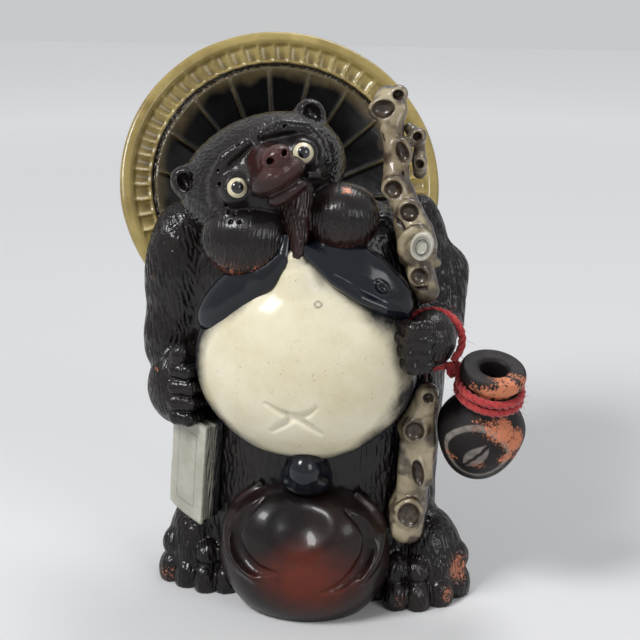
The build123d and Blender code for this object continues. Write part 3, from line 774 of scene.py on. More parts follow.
def combed(points, across, along, wide, long, seed):
    """Two crossing layers of strokes that waver a little, as a comb leaves them."""
    waver = soft_noise(points, 18, seed) * 3.2 + soft_noise(points, 7, seed + 1) * 0.9
    first = strokes(across + waver, along, wide, long, seed)
    second = strokes(across - waver * 0.6 + 0.17 * along, along + 7, wide * 1.35, long * 0.6, seed + 5)
    return np.clip(np.maximum(first, second * 0.75), 0, 1)


def around(points, middle, radius, turn=None):
    """Across and along for hair that runs down round an upright axis."""
    q = points - vec(*middle)
    if turn is not None:
        q = q @ turn
    return np.arctan2(q[:, 0], -q[:, 1]) * radius, q[:, 2]


def head_flow(points):
    """Hair that fans out from between the eyes."""
    q = from_head(points)
    forward = -q[:, 1]
    out = np.sqrt(q[:, 0] ** 2 + (q[:, 2] + 4) ** 2)
    return np.arctan2(q[:, 0], q[:, 2] + 4) * 34, out + np.maximum(0, 30 - forward) * 0.8


def flat_flow(middle, turn):
    def flow(points):
        q = (points - middle) @ turn
        return q[:, 0] * 1.15, -q[:, 2] + q[:, 1] * 0.4
    return flow


FLOWS = {
    "trunk": lambda p: around(p, (0, 3, 0), 72),
    "right_arm": lambda p: around(p, (-80, -4, 190), 24, turn_matrix(0, -7, 0)),
    "left_arm": lambda p: around(p, (68, 0, 190), 22),
    "right_hand": lambda p: around(p, RIGHT_HAND, 18),
    "left_hand": lambda p: around(p, LEFT_HAND, 14),
    "right_foot": lambda p: around(p, RIGHT_FOOT, 26),
    "left_foot": lambda p: around(p, LEFT_FOOT, 26),
    "tail": lambda p: around(p, (8.4, 48, 48), 20),
    "head": head_flow,
    "muzzle": head_flow,
    "nose": head_flow,
    "left_ear": head_flow,
    "right_ear": head_flow,
    "lower_jaw": flat_flow(vec(-5, -55, 250), turn_matrix(0, -14, 0)),
    "throat": flat_flow(vec(-4, -46, 240), turn_matrix(0, -4, 0)),
    "right_cheek": flat_flow(RIGHT_CHEEK, turn_matrix(0, 4, 0)),
    "left_cheek": flat_flow(LEFT_CHEEK, turn_matrix(0, -4, 0)),
}


CHEEKS = {"right_cheek": (RIGHT_CHEEK, 12), "left_cheek": (LEFT_CHEEK, 10)}
FACE_PARTS = ("muzzle", "nose", "lower_jaw")
FACE_SHARES = {"muzzle": 0.12, "nose": 0.12, "lower_jaw": 0.5}


def hair_share(name, points):
    """How deep the combing goes: less on the face, the toes and the muzzle."""
    share = np.ones(len(points), np.float32)
    for eye in EYES.values():
        share *= 0.12 + 0.88 * smooth_step(11, 17, length(points - vec(*eye)))
    share *= FACE_SHARES.get(name, 1)
    if name in CHEEKS:
        middle, bare_height = CHEEKS[name]
        share *= 0.2 + 0.8 * smooth_step(bare_height, 0, points[:, 2] - middle[2])
    if name in ("right_foot", "left_foot"):
        share *= 1 - 0.35 * smooth_step(-26, -34, points[:, 1]) * smooth_step(24, 16, points[:, 2])
    if name == "head":
        q = from_head(points)
        share *= 1 - 0.6 * smooth_step(30, 42, -q[:, 1]) * smooth_step(30, 22, q[:, 2])
    return share


def warmth(name, points):
    """How brown the glaze is, below the cheeks, on the throat and round the nose."""
    warm = np.zeros(len(points), np.float32)
    if name in CHEEKS:
        warm += 0.75 * smooth_step(2, -20, points[:, 2] - CHEEKS[name][0][2])
    elif name in FACE_PARTS:
        warm += 0.25 + 0.65 * smooth_step(17, 5, length(from_head(points) - vec(2.4, -64, 1)))
    elif name == "throat":
        warm += 0.45
    return warm


# Chips and worn places: point, radius and how much of the clay shows
WORN = (
    ((27, -50, 266), 5.0, 0.9),
    ((24, -56, 247), 3.2, 0.9),
    ((-98, -38, 162), 5.0, 0.9),
    ((-92, -46, 150), 4.0, 0.8),
    ((-103, -24, 140), 6.0, 0.7),
    ((80, -14, 118), 12, 0.55),
    ((79, -18, 86), 16, 0.62),
    ((97, -30, 20), 12, 0.6),
    ((90, -42, 8), 7, 0.4),
    ((-40, -58, 214), 14, 0.35),
    ((-22, -56, 219), 12, 0.35),
    ((24, -52, 228), 9, 0.3),
    ((-90, -36, 6), 7, 0.35),
    ((62, -54, 8), 6, 0.3),
    ((-90, -22, 205), 9, 0.25),
)


def wear_at(points):
    wear = np.zeros(len(points), np.float32)
    for place, radius, much in WORN:
        near = length(points - vec(*place)) / radius
        wear = np.maximum(wear, much * smooth_step(1.25, 0.35, near))
    return wear


def hollow_out(obj, form, low, high):
    """Cuts a cavity, open below, out of a piece."""
    points, faces, _ = extract(lambda p: np.maximum(form.distance(p), -10 - p[..., 2]), low, high, 4.0)
    cutter = mesh_piece("cavity", points, faces)
    change = obj.modifiers.new("hollow", "BOOLEAN")
    change.operation = "DIFFERENCE"
    change.solver = "MANIFOLD"
    change.object = cutter
    bpy.context.view_layer.update()
    graph = bpy.context.evaluated_depsgraph_get()
    cut = bpy.data.meshes.new_from_object(obj.evaluated_get(graph))
    obj.modifiers.clear()
    obj.data = cut
    bpy.data.objects.remove(cutter)


# Combed pieces: name, mesh step, and depth, width and length of the strokes. A piece's number is its seed.
COMBED = (
    ("trunk", 1.22, 1.15, 2.7, 26),
    ("right_arm", 0.8, 1.1, 2.2, 20),
    ("left_arm", 0.9, 1.1, 2.4, 20),
    ("right_hand", 0.7, 0.6, 2.0, 12),
    ("left_hand", 0.65, 0.6, 1.9, 10),
    ("right_foot", 0.8, 1.0, 2.2, 18),
    ("left_foot", 0.8, 1.0, 2.2, 18),
    ("tail", 0.95, 1.2, 2.8, 24),
    ("head", 0.75, 0.85, 1.9, 13),
    ("right_cheek", 0.6, 0.95, 1.9, 30),
    ("left_cheek", 0.55, 0.9, 1.75, 26),
    ("throat", 0.6, 0.9, 2.0, 26),
    ("muzzle", 0.6, 0.2, 2.2, 14),
    ("nose", 0.5, 0.1, 2.2, 14),
    ("lower_jaw", 0.6, 0.35, 2.2, 14),
    ("left_ear", 0.65, 0.3, 2.2, 10),
    ("right_ear", 0.65, 0.3, 2.2, 10),
)
SHARED_NODES = {"trunk": ("trunk_front", "trunk_back"), "head": ("head", "right_brow", "left_brow")}

# How finely the streaks of the painted ridge highlight and of the fine bump lie across and along the hair
STREAK_ACROSS, STREAK_ALONG = 0.85, 0.09

# The trunk's wall and the cavity's top
TRUNK_WALL, CAVITY_TOP = 7.5, 205.0


def make_combed():
    dark = glazed_clay("combed_dark_glaze", (0.0050, 0.0048, 0.0058), (0.036, 0.011, 0.007), 0.21, 0.30)
    brown = glazed_clay("muzzle_brown_glaze", (0.008, 0.006, 0.007), (0.062, 0.014, 0.011), 0.22, 0.34)
    for seed, (name, step, depth, wide, long) in enumerate(COMBED, 1):
        points, faces, normal = extract(*hairy_piece(name), step)
        across, along = FLOWS[name](points)
        groove = combed(points, across, along, wide, long, seed) * hair_share(name, points)
        lumps = soft_noise(points, 16, seed + 2) * 0.5
        points = points + normal * (lumps - groove * depth)[:, None]
        points[:, 2] = np.maximum(points[:, 2], 0)
        hair = np.stack((across * STREAK_ACROSS, along * STREAK_ALONG, np.zeros_like(across)), 1)
        values = {"groove": groove, "hair": hair, "wear": wear_at(points), "warm": warmth(name, points)}
        piece = mesh_piece(name + "_clay", points, faces, values)
        slot_name, glaze = ("brown_glaze", brown) if name in FACE_PARTS else ("dark_glaze", dark)
        settle(piece, "statue", slot_name, glaze, *SHARED_NODES.get(name, (name,)))
        if name == "trunk":
            hollow_out(piece, trunk_form(TRUNK_WALL, CAVITY_TOP), (-86, -60, -14), (86, 64, 206))


make_combed()


# Smooth-glazed pieces

TRUNK = trunk_form()


def outside(p, d, form, sink=3.0):
    """A distance kept to what lies outside another form, or sinks into it by a little."""
    return np.maximum(d, -(form.distance(p) + sink))


def front_point(middle, half, x, z):
    """The point of an ellipsoid's front at x and z."""
    across, up = (x - middle[0]) / half[0], (z - middle[2]) / half[2]
    return (x, middle[1] - half[1] * math.sqrt(max(0.0, 1 - across * across - up * up)), z)


def eased(rows, count=4):
    """A smooth run through rows of numbers."""
    rows = np.array(rows, float)
    padded = np.vstack((2 * rows[0] - rows[1], rows, 2 * rows[-1] - rows[-2]))
    run = []
    for a, b, c, d in zip(padded, padded[1:], padded[2:], padded[3:]):
        for t in np.arange(count) / count:
            square, cube = 2 * a - 5 * b + 4 * c - d, 3 * b - a - 3 * c + d
            run.append(0.5 * (2 * b + (c - a) * t + square * t ** 2 + cube * t ** 3))
    return np.array(run + [rows[-1]])


def traced(distance, places, radii, soft=0.0):
    """A tapering run along places, each an x and a z, on the front of a form."""
    depths = np.arange(-110, 0, 0.5)
    points, sizes = [], []
    for x, z, radius in eased([(*place, radius) for place, radius in zip(places, radii)]):
        field = distance(np.array([(x, y, z) for y in depths], np.float32))
        first = int(np.argmax(field < 0)) if (field < 0).any() else int(np.argmin(field))
        points.append((x, depths[first], z))
        sizes.append(max(0.3, radius))
    return limb(points, sizes, soft)


def smooth_piece(name, node, distance, low, high, step, material, slot_name, detail=None, values=None):
    points, faces, normal = extract(distance, low, high, step)
    stored = values(points, normal) if values else {}
    if detail is not None:
        points = points + normal * detail(points)[:, None]
    piece = mesh_piece(name, points, faces, stored)
    settle(piece, "statue", slot_name, material, node)


def satin(name, colours, roughness, coat, key=None, key_colour=None, speck=None, worn=0.0, bump_size=0.0004):
    """A glaze that drifts between two colours, with a masked third colour, specks and worn spots."""
    g = shader(name)
    place = g.place()
    broad, middle, fine = g.noise(place, 32, 5, 0.62), g.noise(place, 150, 5, 0.7), g.noise(place, 900, 3, 0.6)
    colour = g.mix(g.ramp(broad, 0.32, 0.68), *colours)
    if key:
        mask = g.stored(key)
        fray = g.times(g.ramp(middle, 0.25, 0.75, -0.22, 0.22), g.ramp(mask, 0, 0.5))
        colour = g.mix(g.ramp(g.add(mask, fray), 0.05, 0.95), colour, key_colour)
    if speck:
        pits = g.node("TexVoronoi", "Distance", {"Vector": place, "Scale": 520})
        dot = g.times(g.ramp(pits, 0.10, 0.20, 1, 0), g.ramp(middle, 0.52, 0.62))
        colour = g.mix(g.times(dot, 0.8), colour, speck)
    if worn:
        bare = g.bare(g.noise(place, 560, 8, 0.85), -0.85, 0.1, 0.22)
        colour = g.mix(g.times(bare, worn), colour, g.mix(fine, CLAY_LOW, CLAY_HIGH))
    gloss = g.ramp(middle, 0.25, 0.75, roughness - 0.06, roughness + 0.1)
    normal = g.bump(fine, 0.12, 0.0002, Normal=g.bump(middle, 0.35, bump_size))
    return g.surface(colour, gloss, normal, Coat_Weight=coat, Coat_Roughness=0.08, Specular_IOR_Level=0.22)


def make_belly():
    middle, half = vec(0.8, -37.8, 156.2), vec(67, 44, 61)
    dome = egg(middle, half)
    chest = limb(((1, -42, 198), (-1, -50, 212), (-2.6, -57, 226)), (24, 14, 5))

    def plain(p):
        return smooth_min(dome.distance(p), chest.distance(p), 9)

    folds = [
        traced(plain, ((-16.5, 144), (-8, 139), (0.4, 136.4), (7, 138.2), (13, 143)), (0.5, 1.8, 2.3, 1.8, 0.5)),
        traced(plain, ((-1, 135.5), (-7, 130.5), (-14, 125)), (2.1, 1.8, 0.5)),
        traced(plain, ((1.5, 135.5), (8, 130.5), (15, 125)), (2.1, 1.8, 0.5)),
    ]

    def distance(p):
        return outside(p, carved(plain(p), p, folds, 2.0), TRUNK)

    def values(p, normal):
        off = (p - middle) / half
        ring = np.sqrt(off[:, 0] ** 2 + off[:, 2] ** 2)
        # Airbrushed dark paint round the belly's edge and up beside the lapels.
        airbrush_and_crease_shade = smooth_step(0.76, 0.98, ring + 0.06 * soft_noise(p, 14, 3))
        up = smooth_step(178, 200, p[:, 2])
        across = np.abs(p[:, 0] - 2) / np.maximum(5, 47 - (p[:, 2] - 190) * 1.0)
        airbrush_and_crease_shade = airbrush_and_crease_shade * (1 - up) + up * smooth_step(0.70, 1.0, across + 0.06 * soft_noise(p, 9, 3))
        # Painted shade in the carved folds of the navel.
        for fold in folds:
            airbrush_and_crease_shade = np.maximum(airbrush_and_crease_shade, 0.4 * smooth_step(0.6, -0.9, fold.distance(p)))
        spot = length(p - vec(*front_point(middle, half, 12.3, 201)))
        airbrush_and_crease_shade = np.maximum(airbrush_and_crease_shade, 0.6 * smooth_step(0.9, 0.2, np.abs(spot - 1.8)))
        return {"edge": airbrush_and_crease_shade}

    cream = satin("cream_glaze", ((0.70, 0.63, 0.43), (0.82, 0.77, 0.60)), 0.36, 0.25, "edge", (0.022, 0.021, 0.026),
                  (0.10, 0.06, 0.03), 0, 0.0003)
    smooth_piece("belly_clay", "belly", distance, middle - half, middle + half + vec(0, 0, 16), 1.0, cream,
                 "cream_glaze", lambda p: soft_noise(p, 24, 4) * 0.35 + soft_noise(p, 6, 5) * 0.07, values)


def make_lapels():
    blue = satin("lapel_glaze", ((0.0035, 0.0045, 0.0075), (0.008, 0.010, 0.017)), 0.15, 0.36)
    right_middle, left_middle = vec(-33, -50, 203), vec(32.8, -48.6, 210.4)
    right = egg(right_middle, (36, 13, 15.5), turn=turn_matrix(0, -41, 0))
    right_ends = (
        limb(((-44, -50, 192), (-57, -45, 178)), (8, 3), 7),
        limb(((-20, -56, 213), (-9, -57, 226), (-7, -52, 240)), (8, 4.5, 3), 7),
    )
    left = egg(left_middle + vec(1, 2, 3), (35, 13, 17), turn=turn_matrix(0, 33, 0))
    left_tip = limb(((3, -56, 230), (20, -58, 218), (44, -54, 203), (60, -49, 192)), (3.5, 6, 8, 3.5), 7)
    roll = limb(((7, -58, 226), (20, -63, 215), (36, -64, 205), (50, -60, 198), (60, -52, 193)),
                (1.5, 2.6, 3, 2.6, 1.5), 2.5)
    scoop = limb(((20, -72, 225), (34, -72, 215), (48, -68, 206)), (7, 9, 6.5))
    curl = egg((48, -60.5, 211), (4.2, 3, 3.2), 2, turn=turn_matrix(0, 35, 0))
    eyelet = egg((48.5, -64, 211.5), (2.4, 3, 1.4), turn=turn_matrix(0, 35, 0))

    def right_distance(p):
        return outside(p, joined(right.distance(p), p, right_ends), TRUNK)

    def left_distance(p):
        d = carved(joined(left.distance(p), p, [left_tip]), p, [scoop], 4)
        return outside(p, carved(joined(d, p, (roll, curl)), p, [eyelet], 1), TRUNK)

    reach = vec(40, 22, 34)
    for side, distance, middle in (("right", right_distance, right_middle), ("left", left_distance, left_middle)):
        smooth_piece(side + "_lapel_clay", side + "_lapel", distance, middle - reach, middle + reach, 0.8, blue,
                     "lapel_glaze", lambda p: soft_noise(p, 9, 6) * 0.25)


def make_pouch():
    middle, half = vec(0.8, -45.4, 32.8), vec(53, 40, 47)
    bag = egg(middle, half)
    lobes = [egg((-17, -51, 54), (25, 27, 24), 7), egg((21, -51, 54), (25, 27, 23), 7)]

    def plain(p):
        return joined(bag.distance(p), p, lobes)

    grooves = [
        traced(plain, ((-21.8, 75.8), (-33, 66), (-37.8, 54), (-34, 44), (-24, 37.5), (-9, 37.5)),
               (0.5, 3.6, 5.2, 5.4, 4.2, 0.5)),
        traced(plain, ((29, 72), (38, 65), (42.5, 56.5), (42, 46), (36, 35.5), (27, 29), (15, 26)),
               (0.5, 3.2, 4.6, 5.2, 5.0, 3.4, 0.5)),
    ]
    lips = [
        traced(plain, ((-26, 80), (-39, 68), (-43.5, 54), (-39, 40), (-25, 31)), (1, 3, 3.6, 3, 1), 5),
        traced(plain, ((34, 77), (44, 67), (48.5, 55), (47, 42), (40, 31)), (1, 2.8, 3.2, 2.8, 1), 5),
    ]
    saddle = egg((3.5, -89, 70), (20, 20, 16))

    def distance(p):
        d = joined(carved(plain(p), p, [saddle], 7), p, lips)
        return np.maximum(outside(p, carved(d, p, grooves, 2.2), TRUNK), -p[..., 2])

    def values(p, normal):
        spread = np.sqrt(((p[:, 0] - 8) / 36) ** 2 + ((p[:, 2] - 33) / 26) ** 2)
        return {"glow": 0.95 * smooth_step(1.25, 0.15, spread + 0.14 * soft_noise(p, 15, 8))}

    brown = satin("pouch_glaze", ((0.005, 0.004, 0.005), (0.018, 0.008, 0.007)), 0.31, 0.17,
                  "glow", (0.120, 0.018, 0.007))
    smooth_piece("pouch_clay", "pouch", distance, middle - half - 4, middle + half + 4, 1.0, brown,
                 "red_brown_glaze", lambda p: soft_noise(p, 22, 9) * 0.4, values)


def make_knob():
    knob = egg((3.4, -58.3, 95.3), (11, 13, 12.5))
    neck = egg((3.0, -52, 87), (16, 14, 11), 4)
    glaze = satin("knob_glaze", ((0.004, 0.005, 0.008), (0.009, 0.011, 0.018)), 0.15, 0.4)
    smooth_piece("knob_clay", "pouch_knob", lambda p: outside(p, joined(knob.distance(p), p, [neck]), TRUNK),
                 (-16, -76, 76), (22, -36, 112), 0.75, glaze, "dark_glaze", lambda p: soft_noise(p, 8, 10) * 0.2)


make_belly()
make_lapels()
make_pouch()
make_knob()


# The staff: a limb of driftwood with sawn-off branches

def cup(x, y, z, wide, high=None, turn=0.0):
    """The raised ring and the hollow of a sawn-off branch that faces forward."""
    high = high or wide
    spun = turn_matrix(0, turn, 0)
    ring = egg((x, y + 0.8, z), (wide + 2.8, 4.4, high + 2.8), 2.2, turn=spun)
    return ring, egg((x, y - 3.0, z), (wide + 0.5, 4.6, high + 0.5), turn=spun)


UPPER_STAFF = limb(
    (
        (44.5, 0, 306.5), (46.5, -6, 296), (48.5, -9, 286), (51.5, -13, 274), (51, -19, 262),
        (58.5, -25, 249), (65, -31, 237), (66.4, -32.4, 229), (68, -35, 214), (71.4, -35.6, 203),
    ),
    (9.6, 7.6, 6.4, 7.0, 8.4, 8.6, 9.6, 11.0, 8.2, 7.8),
    3,
)
UPPER_CUPS = [
    cup(42.4, -8.4, 304.0, 6.2, 4.6, -15),
    cup(51.0, -5.4, 312.0, 2.6, 2.2),
    cup(54.8, -17.2, 280.5, 3.0, 5.6, -20),
    cup(50.8, -27.4, 260.6, 4.6),
    cup(60.6, -33.4, 249.0, 4.8, 4.4),
    cup(68.0, -42.6, 213.3, 4.4),
]
UPPER_RIDGES = [
    limb([(66.3 + 9.2 * math.cos(a), -40.5, 230.5 + 9.2 * math.sin(a)) for a in np.radians(range(50, 341, 29))],
         [2.2] + [3.2] * 9 + [2.4], 2.5),
    limb(((71, -38, 222), (77.5, -37, 220)), (3.6, 2.4), 2.5),
    limb(((50, -5, 312), (53, -7, 303), (50, -11, 294)), (3.4, 3.8, 2.4), 4),
    limb(((44, -12, 292), (47, -15, 281), (46.5, -17, 270)), (2, 2.8, 2.2), 3),
    limb(((64, -33, 243), (55, -28, 240), (58, -36, 222)), (3, 4, 3), 4),
]
UPPER_CREASES = [
    limb(((43.5, -13, 290), (50, -17, 272), (56.5, -23, 268)), (0.5, 1.5, 0.5)),
    limb(((55, -33, 243), (59, -38, 238)), (1.6, 0.6)),
    limb(((62, -43, 205), (72, -44, 206)), (0.6, 1.4)),
]
LOWER_STAFF = limb(
    ((74.5, -43, 142), (71, -41, 130), (67, -38.5, 118), (68.5, -37, 104), (68.9, -36.7, 92), (66, -38, 78),
     (64, -40.5, 66), (63.4, -42, 53)),
    (6.6, 8.2, 10.6, 8.8, 9.2, 9.8, 12.0, 10.4),
    3,
)
LOWER_CUPS = [
    cup(67.6, -48.4, 119.6, 5.2, 5.6, 15),
    cup(70.0, -45.4, 91.5, 3.0, 8.0, -8),
    cup(65.4, -51.8, 66.5, 6.2, 7.4, 12),
    cup(75.2, -49.0, 141.4, 2.6),
]
LOWER_RIDGES = [
    limb(((61, -44, 108), (60.5, -45, 92), (60, -45, 80)), (2.4, 3.2, 2.6), 3),
    limb(((75, -42, 128), (77, -42, 110), (76, -42, 84)), (2.4, 3, 2.6), 3),
]
LOWER_CREASES = [
    limb(((64, -49, 106), (63, -47.5, 96)), (1.2, 0.5)),
    limb(((72, -50, 84), (70, -50, 78)), (0.5, 1.3)),
]


def staff_piece(part, core, cups, ridges, creases, low, high, material):
    rings, hollows = zip(*cups)

    def distance(p):
        d = joined(joined(core.distance(p), p, ridges), p, rings) + 0.55 * soft_noise(p, 8, 30)
        return carved(carved(d, p, hollows, 0.9), p, creases, 1.6)

    def values(p, normal):
        sunk = np.min([hollow.distance(p) for hollow in hollows], 0)
        patches = soft_noise(p, 8, 30) + 0.5 * soft_noise(p, 3.5, 32)
        return {"wear": wear_at(p), "dark": np.maximum.reduce([
            # Painted shade in the hollows of the cups.
            0.85 * smooth_step(1.0, 0.1, sunk),
            # Painted shade in the creases.
            *[0.9 * smooth_step(1.5, 0.2, crease.distance(p)) for crease in creases],
            # Painted shade on the sides that face back.
            smooth_step(-0.72, -0.10, normal[:, 1] + 0.18 * np.minimum(normal[:, 0], 0)),
            0.75 * smooth_step(0.15, -0.5, patches),
            # Painted shade at the lower end of the upper staff, where it meets the hand.
            0.8 * smooth_step(209, 203, p[:, 2]) * (p[:, 2] > 180),
        ])}

    smooth_piece(part + "_clay", part, distance, low, high, 0.75, material, "staff_glaze",
                 lambda p: soft_noise(p, 3, 31) * 0.12, values)


def make_staff():
    wood = satin("staff_glaze", ((0.17, 0.125, 0.07), (0.50, 0.43, 0.29)), 0.28, 0.5,
                 "dark", (0.022, 0.011, 0.009), None, 0.6, 0.0008)
    staff_piece("upper_staff", UPPER_STAFF, UPPER_CUPS, UPPER_RIDGES, UPPER_CREASES,
                (32, -52, 192), (84, 12, 320), wood)
    staff_piece("lower_staff", LOWER_STAFF, LOWER_CUPS, LOWER_RIDGES, LOWER_CREASES,
                (50, -62, 38), (86, -22, 152), wood)
    twig = limb(((57, 2, 291), (61.7, 1, 287), (63.5, 2, 279), (63.3, 2, 271), (63.8, 2, 265)),
                (3.4, 4.8, 3.2, 4.6, 3.8))
    stub = limb(((52, -8, 280), (60, -2, 286)), (3.6, 3.4), 2)
    crease = limb(((60, -3, 279), (66, -3, 278)), (0.4, 0.8))
    staff_piece("staff_twig", twig, [cup(62.5, -3.6, 287.5, 2.0), cup(64, -2.8, 271, 1.9)], [stub], [crease],
                (46, -14, 256), (74, 12, 298), wood)


# The oval seal on the staff: half widths and heights of its edge and of the ring on its face
SEAL_MIDDLE = vec(69.0, -45.2, 231.6)
SEAL_TURN = turn_matrix(0, 12, 0)
SEAL_OVAL = (6.6, 8.4)
SEAL_RING = (3.4, 4.6)


def from_oval(q, wide, high):
    """About how far points lie outside an upright oval."""
    return (np.sqrt((q[..., 0] / wide) ** 2 + (q[..., 2] / high) ** 2) - 1) * wide


def make_seal():
    def distance(p):
        q = (p - SEAL_MIDDLE) @ SEAL_TURN
        edge = from_oval(q, *SEAL_OVAL)
        rim = np.abs(edge + 1.0) - 0.8
        inner = np.abs(from_oval(q, *SEAL_RING)) - 0.55
        face = 1.1 * smooth_step(0.5, -0.3, np.minimum(rim, inner))
        return smooth_max(edge, np.maximum(-q[..., 1] - 1.2 - face, q[..., 1] - 3.4), 0.6)

    def values(p, normal):
        q = (p - SEAL_MIDDLE) @ SEAL_TURN
        return {"dark": 0.85 * smooth_step(-1.7, -2.4, q[:, 1]) * smooth_step(-1.2, -2.0, from_oval(q, *SEAL_OVAL))}

    silver = satin("seal_glaze", ((0.42, 0.40, 0.33), (0.62, 0.60, 0.52)), 0.3, 0.4, "dark", (0.05, 0.048, 0.045))
    reach = vec(10, 6, 11)
    smooth_piece("staff_seal_clay", "staff_seal", distance, SEAL_MIDDLE - reach, SEAL_MIDDLE + reach, 0.4, silver,
                 "seal_glaze", None, values)


make_staff()
make_seal()


# The hat, in its own frame: z points back through the crown and the rim's front lip lies on z = 0

HAT_MIDDLE = vec(-25.7, 35.0, 250.4)
HAT_TURN = turn_matrix(-120, 0, 14)
HAT_RADIUS = 101.0
RIM_INNER = 80.5
LIP_WIDTH = 6.5
RIM_RISE = 4.5
CROWN_DEPTH = 56.0
HAT_WALL = 7.0
PLEATS = 56
RIBS = 18
SEATS = [TRUNK] + [form for form in HAIRY if form.owner in ("right_arm", "left_arm")]


STRING_HOLE = vec(-62.4, 17.4)
STRING_HOLE_RADIUS = 3.2


def from_hat(p):
    return p @ HAT_TURN.T + HAT_MIDDLE


def seated(p, d):
    """A hat distance kept clear of the shoulders, apart from a 3 mm seat."""
    world = from_hat(p)
    seat = np.min([form.distance(world) for form in SEATS], 0)
    return np.maximum(d, -(seat + 3))


def from_axis(p):
    return np.sqrt(p[..., 0] ** 2 + p[..., 1] ** 2)


def turned_share(p, count, shift):
    """Where points lie between two of a number of lines spread evenly round the hat, from 0 to 1."""
    share = (np.arctan2(p[..., 1], p[..., 0]) + shift) * count / (2 * math.pi)
    return share - np.floor(share)


def pleat_depth(p):
    """How deep the rim's pleats are pressed in, from 0 at a ridge to 1 in the middle."""
    radius = from_axis(p)
    share = turned_share(p, PLEATS, 0.006 * np.sin(radius * 0.3))
    inside = smooth_step(RIM_INNER + 0.6, RIM_INNER + 3.4, radius) * smooth_step(93.4, 91.4, radius)
    return np.sqrt(np.abs(np.sin(math.pi * share))) * inside


def rim_distance(p):
    radius = from_axis(p)
    slope = RIM_RISE * np.clip((HAT_RADIUS - LIP_WIDTH - radius) / (HAT_RADIUS - LIP_WIDTH - RIM_INNER), 0, 1)
    front = slope + 2.3 * pleat_depth(p) - 0.9 * smooth_step(93, 95.5, radius)
    d = smooth_max(front - p[..., 2], p[..., 2] - slope - HAT_WALL, 1.5)
    edge = smooth_max(radius - HAT_RADIUS, RIM_INNER - radius, 1)
    return seated(p, smooth_max(d, edge, 3.2))


def rib_share(p):
    """1 on the lining's thin raised ribs, 0 between them."""
    radius = from_axis(p)
    off = np.abs(turned_share(p, RIBS, 0.05) - 0.5) * 2 * math.pi / RIBS * radius
    return smooth_step(1.5, 0.3, off) * smooth_step(78.5, 75, radius)


def crown_distance(p):
    radius = from_axis(p)
    front = RIM_RISE + (CROWN_DEPTH - RIM_RISE) * (1 - radius / RIM_INNER)
    front = front - 1.2 * rib_share(p) + 1.3 * smooth_step(1.2, 0.2, np.abs(radius - RIM_INNER + 1.4))
    d = smooth_max(front - p[..., 2], p[..., 2] - front - HAT_WALL, 1) * 0.85
    hole = STRING_HOLE_RADIUS - length(p[..., :2] - STRING_HOLE)
    return seated(p, smooth_max(np.maximum(d, radius - RIM_INNER), hole, 1))


def hat_piece(name, node, distance, low, high, step, material, slot_name, values):
    points, faces, normal = extract(distance, low, high, step)
    stored = values(points, normal)
    points = points + normal * (soft_noise(points, 20, 40) * 0.35)[:, None]
    piece = mesh_piece(name, from_hat(points), faces, stored)
    settle(piece, "statue", slot_name, material, node)


def make_hat():
    gold = satin("gold_glaze", ((0.21, 0.15, 0.045), (0.42, 0.33, 0.12)), 0.28, 0.4,
                 "dark", (0.045, 0.030, 0.014), None, 0, 0.0006)
    lining = satin("hat_lining_glaze", ((0.002, 0.002, 0.0025), (0.006, 0.0055, 0.006)), 0.17, 0.22,
                   "rib", (0.13, 0.10, 0.05))

    def rim_values(p, normal):
        radius = from_axis(p)
        # Painted shade in the hollows of the pleats; the rim also darkens towards its inner edge.
        pleats = 0.55 * smooth_step(0.72, 1, pleat_depth(p)) * smooth_step(93, 84, radius)
        back = 0.5 * smooth_step(0.2, 0.6, normal[:, 2])
        return {"dark": np.maximum.reduce([pleats, smooth_step(82.6, 80.8, radius), back])}

    def crown_values(p, normal):
        radius = from_axis(p)
        gilt = 0.7 * smooth_step(70, 78, radius + 3 * soft_noise(p, 9, 41)) * smooth_step(80.2, 79, radius)
        back = 0.75 * smooth_step(0.2, 0.6, normal[:, 2])
        # The ribs are lighter: a painted highlight along them, with worn gilt that grows towards the rim.
        ribs = rib_share(p) * (0.25 + 0.6 * smooth_step(58, 77, radius))
        return {"rib": np.maximum.reduce([ribs, gilt, back])}

    reach = HAT_RADIUS + 1
    hat_piece("hat_rim_clay", "hat_rim", rim_distance, (-reach, -reach, -3), (reach, reach, 14), 0.85, gold,
              "gold_glaze", rim_values)
    reach = RIM_INNER + 1
    hat_piece("hat_crown_clay", "hat_crown", crown_distance, (-reach, -reach, 1), (reach, reach, 66), 1.1, lining,
              "hat_lining_glaze", crown_values)


make_hat()


# The account book, in its own frame

BOOK_MIDDLE = vec(-69.7, -33.5, 84.4)
BOOK_TURN = turn_matrix(0, 7, -38)
COVER_HALF = (18.2, 1.2, 34.2)
COVER_FORWARD = 7.7
PAGES_HALF = (17, 6.6, 33)
PAGE_STEP = 2.1
CHIP_PLACE = vec(-92, -28, 68)


def box_distance(q, half, round_off):
    off = np.abs(q) - (np.asarray(half, np.float32) - round_off)
    return length(np.maximum(off, 0)) + np.minimum(off.max(-1), 0) - round_off


def from_book(p):
    return (p - BOOK_MIDDLE) @ BOOK_TURN


def bent(p):
    """The book's frame with its left side curled forward."""
    q = from_book(p)
    q[..., 1] -= 0.008 * np.minimum(q[..., 0] - 4, 0) ** 2
    return q


def page_line(q):
    """1 in the middle of a scored page line, 0 between two lines."""
    leaves = q[..., 1] * 1.35 + 0.8 * np.sin(q[..., 2] * 0.11 + q[..., 1]) + 0.3 * soft_noise(q, 9, 50)
    return 0.5 + 0.5 * np.cos(leaves * 2 * math.pi / PAGE_STEP)


